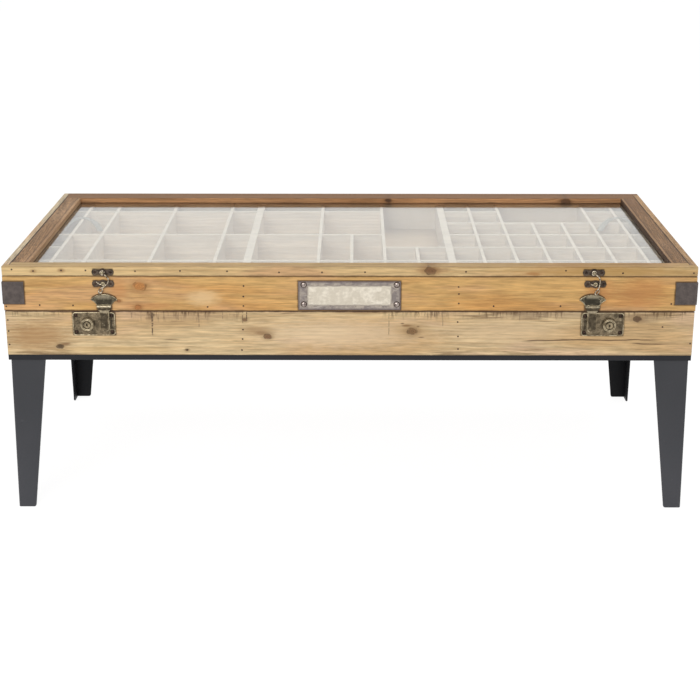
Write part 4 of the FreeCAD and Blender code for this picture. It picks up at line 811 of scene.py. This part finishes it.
LOCK_SCREW = 0.0054  # screw's middle, from the lock plate's edges
for side in ("left", "right"):
    lo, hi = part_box(f"lock_plate_{side}")
    slotted_screws(f"lock_screws_{side}", [(x, lo.y + 0.0006, z) for x in (lo.x + LOCK_SCREW, hi.x - LOCK_SCREW)
                                           for z in (lo.z + LOCK_SCREW, hi.z - LOCK_SCREW)], 0.0031, "base")
hook_plates, keepers = fitting_boxes("hook_plates"), fitting_boxes("hook_keepers")
PLATE_FACE = FRONT - LATCH_SHEET


def lobed_plates(name, node, boxes, end, waist, post_level, post, body):
    """Plates with a round middle and round ends, each with a post of the given profile on it, for one CAD node."""
    mesh = bmesh.new()
    for lo, hi in boxes:
        middle, level = (lo[0] + hi[0]) / 2, (lo[2] + hi[2]) / 2
        half, tall = (hi[0] - lo[0]) / 2, (hi[2] - lo[2]) / 2
        upper = []
        for i in range(65):
            x = -half * math.cos(math.pi * i / 64)
            past = max(0.0, abs(x) - (half - end))
            lobes = [math.sqrt(max(0.0, tall * tall - x * x))]
            if past:
                lobes.append(math.sqrt(max(0.0, end * end - past * past)))
            elif half - 2 * end < abs(x):
                lobes.append(math.sqrt(end * end - (half - end - abs(x)) ** 2))
            upper.append((x, max(*lobes, waist if abs(x) < half - end else 0.0)))
        outline = upper + [(x, -z) for x, z in reversed(upper[1:-1])]
        rings = [[mesh.verts.new((middle + x * share, y, level + z * share)) for x, z in outline]
                 for y, share in ((FRONT, 1.0), (PLATE_FACE + 0.0005, 1.0), (PLATE_FACE, 0.965))]
        for one, other in zip(rings, rings[1:]):
            bridge(mesh, one, other)
        mesh.faces.new(rings[0])
        mesh.faces.new(rings[-1])
    bmesh.ops.recalc_face_normals(mesh, faces=mesh.faces)
    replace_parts(finish_piece(name, mesh, "latch_bronze", body, smooth=False), node)
    posts = [(((lo[0] + hi[0]) / 2, PLATE_FACE, post_level), (0, -1, 0)) for lo, hi in boxes]
    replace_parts(turned(f"{name}_posts", post, posts, "dull_rim", body), node)
    slotted_screws(f"{name}_screws", [(x, PLATE_FACE, (lo[2] + hi[2]) / 2) for lo, hi in boxes
                                      for x in (lo[0] + end, hi[0] - end)], 0.0022, body)


PIVOT_LEVEL = high("lid_front_rail").z - 0.0103
STUD_LEVEL = high("upper_front_board").z - 0.0133
lobed_plates("lobed_hook_plates", "hook_plates", hook_plates, 0.0057, 0.0043, PIVOT_LEVEL,
             [(0.0019, 0.0), (0.0019, 0.005), (0.0026, 0.005), (0.0026, 0.0054), (0.0018, 0.006), (0.0, 0.006)],
             "glass_lid")
lobed_plates("lobed_keepers", "hook_keepers", keepers, 0.0062, 0.0048, STUD_LEVEL,
             [(0.0034, 0.0), (0.0034, 0.0012), (0.0027, 0.0017), (0.0, 0.0014)], "upper_case")

LEAF_SCREW = 0.0046  # screw's middle, from the leaf's free edge
for hinge, bodies in (("case", ("base", "upper_case")), ("lid", ("upper_case", "glass_lid"))):
    for leaf, body in zip(("lower", "upper"), bodies):
        spots = []
        for lo, hi in fitting_boxes(f"{hinge}_hinge_{leaf}_leaves"):
            level = lo[2] + LEAF_SCREW if leaf == "lower" else hi[2] - LEAF_SCREW
            spots += [((lo[0] + hi[0]) / 2 + across, REAR + HINGE_LEAF, level) for across in (-0.017, 0.0, 0.017)]
        slotted_screws(f"{hinge}_hinge_{leaf}_screws", spots, 0.0028, body, way=1)

# Bright rims and wires


def front_loops(node, depth):
    """Closed outlines, as lists of (x, z), of the node's flat faces that lie at one depth."""
    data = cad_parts[node].data
    spots = [tuple(round(value, 6) for value in vertex.co) for vertex in data.vertices]
    sides = {}
    for face in data.polygons:
        ring = [spots[index] for index in face.vertices]
        if all(abs(spot[1] - depth) < 0.00003 for spot in ring):
            for one, other in zip(ring, ring[1:] + ring[:1]):
                sides[(one[0], one[2]), (other[0], other[2])] = True
    border = {one: other for one, other in sides if (other, one) not in sides}
    loops = []
    while border:
        start, spot = border.popitem()
        loop = [start]
        while spot != start:
            loop.append(spot)
            spot = border.pop(spot)
        loops.append(loop)
    return loops


def tube(name, lines, radius, material, body, closed=True, smooth=False):
    """Round bars along lines of points."""
    curve = bpy.data.curves.new(name, "CURVE")
    curve.dimensions, curve.bevel_depth, curve.bevel_resolution = "3D", radius, 2
    curve.use_fill_caps, curve.resolution_u = True, 8
    for line in lines:
        spline = curve.splines.new("NURBS" if smooth else "POLY")
        spline.points.add(len(line) - 1)
        for point, place in zip(spline.points, line):
            point.co = (*place, 1.0)
        spline.use_cyclic_u = closed
        if smooth:
            spline.order_u, spline.use_endpoint_u = 4, not closed
    return add_piece(name, curve, material, body)


def rim(name, node, depth, radius, body, choose=lambda loop: True, material="rubbed_rim"):
    loops = [loop for loop in front_loops(node, depth) if choose(loop)]
    return tube(name, [[(x, depth, z) for x, z in loop] for loop in loops], radius, material, body)


def outer_run(loop, inside):
    """The loop's points that satisfy a test, as one open line."""
    start = next(i for i, point in enumerate(loop) if inside(point) and not inside(loop[i - 1]))
    return [point for point in loop[start:] + loop[:start] if inside(point)]


for side, way in (("left", 1), ("right", -1)):
    lo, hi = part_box(f"lock_plate_{side}")
    rim(f"lock_rim_{side}", f"lock_plate_{side}", lo.y, 0.0009, "base",
        lambda loop: max(x for x, _ in loop) > hi.x - 0.0005)
    lo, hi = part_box(f"hasp_head_{side}")
    rim(f"head_rim_{side}", f"hasp_head_{side}", FRONT - HEAD_SHEET, 0.0008, "upper_case", material="dull_rim")
    middle, level, foot = (lo.x + hi.x) / 2, lo.z - 0.006, low(f"hasp_{side}").z
    panel = lo.y + 0.0011
    lines = [outer_run(loop, lambda point: (point[0] - middle) * way > 0.002 and point[1] < level)
             for loop in front_loops(f"hasp_{side}", panel) if min(z for _, z in loop) < foot + 0.001]
    tube(f"hasp_rim_{side}", [[(x, panel, z) for x, z in line] for line in lines], 0.0007, "rubbed_rim",
         f"hasp_{side}_flap", closed=False)
rim("boss_rims", "lock_bosses", bosses[0].y, 0.0007, "base")


def ring_line(centre, radius, y, count=24, stretch=1.0, turn=0.0, start=0.0, sweep=360.0):
    """Points round an ellipse that faces the front, or round part of it, with its angles in degrees but the turn."""
    line = []
    for i in range(count):
        a = math.radians(start) + math.radians(sweep) * i / (count if sweep >= 360.0 else count - 1)
        u, w = radius * stretch * math.cos(a), radius * math.sin(a)
        line.append((centre[0] + u * math.cos(turn) - w * math.sin(turn), y,
                     centre[1] + u * math.sin(turn) + w * math.cos(turn)))
    return line


def placed(centre, y, offsets):
    """Points at offsets in millimetres from a centre of the front."""
    return [(centre[0] + x * MM, y, centre[1] + z * MM) for x, z in offsets]


WIRE_LEVEL = PLATE_FACE - 0.0034  # the hooks' wires run in front of the latch plates
CURL = [(-11.5, 3.6), (-9.6, 2.4), (-8.0, 0.2), (-5.6, -1.4), (-3.2, -1.0)]
BENDS = {"left": ((10.6, -10.8), (11.0, -15.0), (6.6, -21.5), (1.2, -26.0), (-4.4, -32.8), 0.98),
         "right": ((9.7, -7.4), (11.4, -13.0), (10.6, -20.0), (9.4, -26.5), (6.6, -34.6), 1.05)}
for (lo, hi), (stud_lo, stud_hi), (side, (*bends, lean)) in zip(hook_plates, keepers, BENDS.items()):
    pivot, stud = ((lo[0] + hi[0]) / 2, PIVOT_LEVEL), ((stud_lo[0] + stud_hi[0]) / 2, STUD_LEVEL)
    *bends, (x, _, z) = placed(pivot, WIRE_LEVEL, bends)
    eye = ring_line(pivot, 0.0036, WIRE_LEVEL, 12, start=-40, sweep=330)
    end = ring_line((x, z), 0.0029, WIRE_LEVEL, 12, stretch=1.75, turn=lean, start=20, sweep=335)
    wire = tube(f"wire_hook_{side}", [list(reversed(eye)) + bends + end], 0.00125, "rubbed_wire",
                f"hook_{side}_arm", closed=False, smooth=True)
    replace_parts(wire, f"hook_{side}")
    tube(f"stud_ring_{side}", [ring_line(stud, 0.0030, PLATE_FACE - 0.0017)], 0.0009, "rubbed_rim", "upper_case")
    tube(f"keeper_curl_{side}", [placed(stud, PLATE_FACE - 0.0006, CURL)], 0.0010, "rubbed_wire", "upper_case",
         closed=False, smooth=True)
    tube(f"plug_ring_{side}", [ring_line((BOSSES[side], BOSS_LEVEL), 0.0053, bosses[0].y + 0.0003)], 0.0006,
         "rubbed_rim", f"lock_plug_{side}_core")


def ribbon(name, pixels, half_width=0.0056, thick=0.0007):
    """A slack band that lies on the dividers along a line of pixels, from the side board."""
    level = high("dividers_left").z + 0.0004
    line = [seen(px, py, 2, level) for px, py in pixels]
    side_board = math.copysign(high("tray_floor").x - 0.0006, line[0].x)
    line.insert(0, Vector((side_board, line[0].y - 0.016, level)))
    mesh, rows = bmesh.new(), []
    for i, spot in enumerate(line):
        ahead = (line[min(i + 1, len(line) - 1)] - line[max(i - 1, 0)]).normalized()
        side = Vector((-ahead.y, ahead.x, 0.0)) * half_width
        rows.append([mesh.verts.new(spot + side * way + Vector((0, 0, up)))
                     for way, up in ((-1, 0), (1, 0), (1, thick), (-1, thick))])
    for one, other in zip(rows, rows[1:]):
        bridge(mesh, one, other)
    mesh.faces.new(list(reversed(rows[0])))
    mesh.faces.new(rows[-1])
    bmesh.ops.recalc_face_normals(mesh, faces=mesh.faces)
    finish_piece(name, mesh, "grey_ribbon", "upper_case", smooth=False)


MIRRORED = 700.4  # a pixel's column and its mirror image's add up to this
ARC = [(64.6, 231.0), (66.4, 227.6), (69.4, 224.4), (73.4, 221.6), (78.0, 219.9), (83.0, 219.3), (88.0, 220.1),
       (92.4, 222.2), (96.2, 225.4), (98.8, 229.0), (100.6, 232.6)]
ribbon("slack_ribbon_left", ARC)
ribbon("slack_ribbon_right", [(MIRRORED - px, py) for px, py in ARC])

# Light, floor and background


def sky():
    """White to the camera and in mirrors, dimmer as a light."""
    world = bpy.data.worlds.new("studio")
    bpy.context.scene.world = world
    s = Shade("studio", world)
    level = s.node("ShaderNodeMapRange", {0: s.rays("Camera", "Glossy", "Transmission"), 3: 0.40, 4: 1.0})
    s.show(s.node("ShaderNodeBackground", {"Color": (1.0, 1.0, 1.0), "Strength": level}))


def ground():
    data = bpy.data.meshes.new("floor")
    reach = 14.0
    corners = [(-reach, -reach, 0), (reach, -reach, 0), (reach, reach, 0), (-reach, reach, 0)]
    data.from_pydata(corners, [], [(0, 1, 2, 3)])
    floor = bpy.data.objects.new("floor", data)
    bpy.context.collection.objects.link(floor)
    s = Shade("pale_floor")
    matt = s.node("ShaderNodeBsdfDiffuse", {"Color": (0.86, 0.86, 0.86)})
    glow = s.node("ShaderNodeEmission", {"Color": (1.0, 1.0, 1.0), "Strength": 1.17})
    direct = s.rays("Camera", "Glossy", "Transmission")
    s.show(s.node("ShaderNodeMixShader", {0: direct * 0.8, 1: matt, 2: glow}))
    data.materials.append(MATERIALS["pale_floor"])


def softbox(name, place, target, width, height, power, mirrored=True):
    data = bpy.data.lights.new(name, "AREA")
    data.shape, data.size, data.size_y, data.energy = "RECTANGLE", width, height, power
    lamp = bpy.data.objects.new(name, data)
    lamp.location = place
    lamp.rotation_euler = (Vector(target) - Vector(place)).to_track_quat("-Z", "Y").to_euler()
    lamp.visible_glossy = mirrored
    bpy.context.collection.objects.link(lamp)


sky()
ground()
softbox("front_light", (-1.2, -3.4, 2.2), (0, 0, 0.35), 2.4, 1.8, 66)
softbox("top_light", (0.6, 0.2, 3.0), (0, 0, 0.3), 2.6, 2.0, 36, mirrored=False)
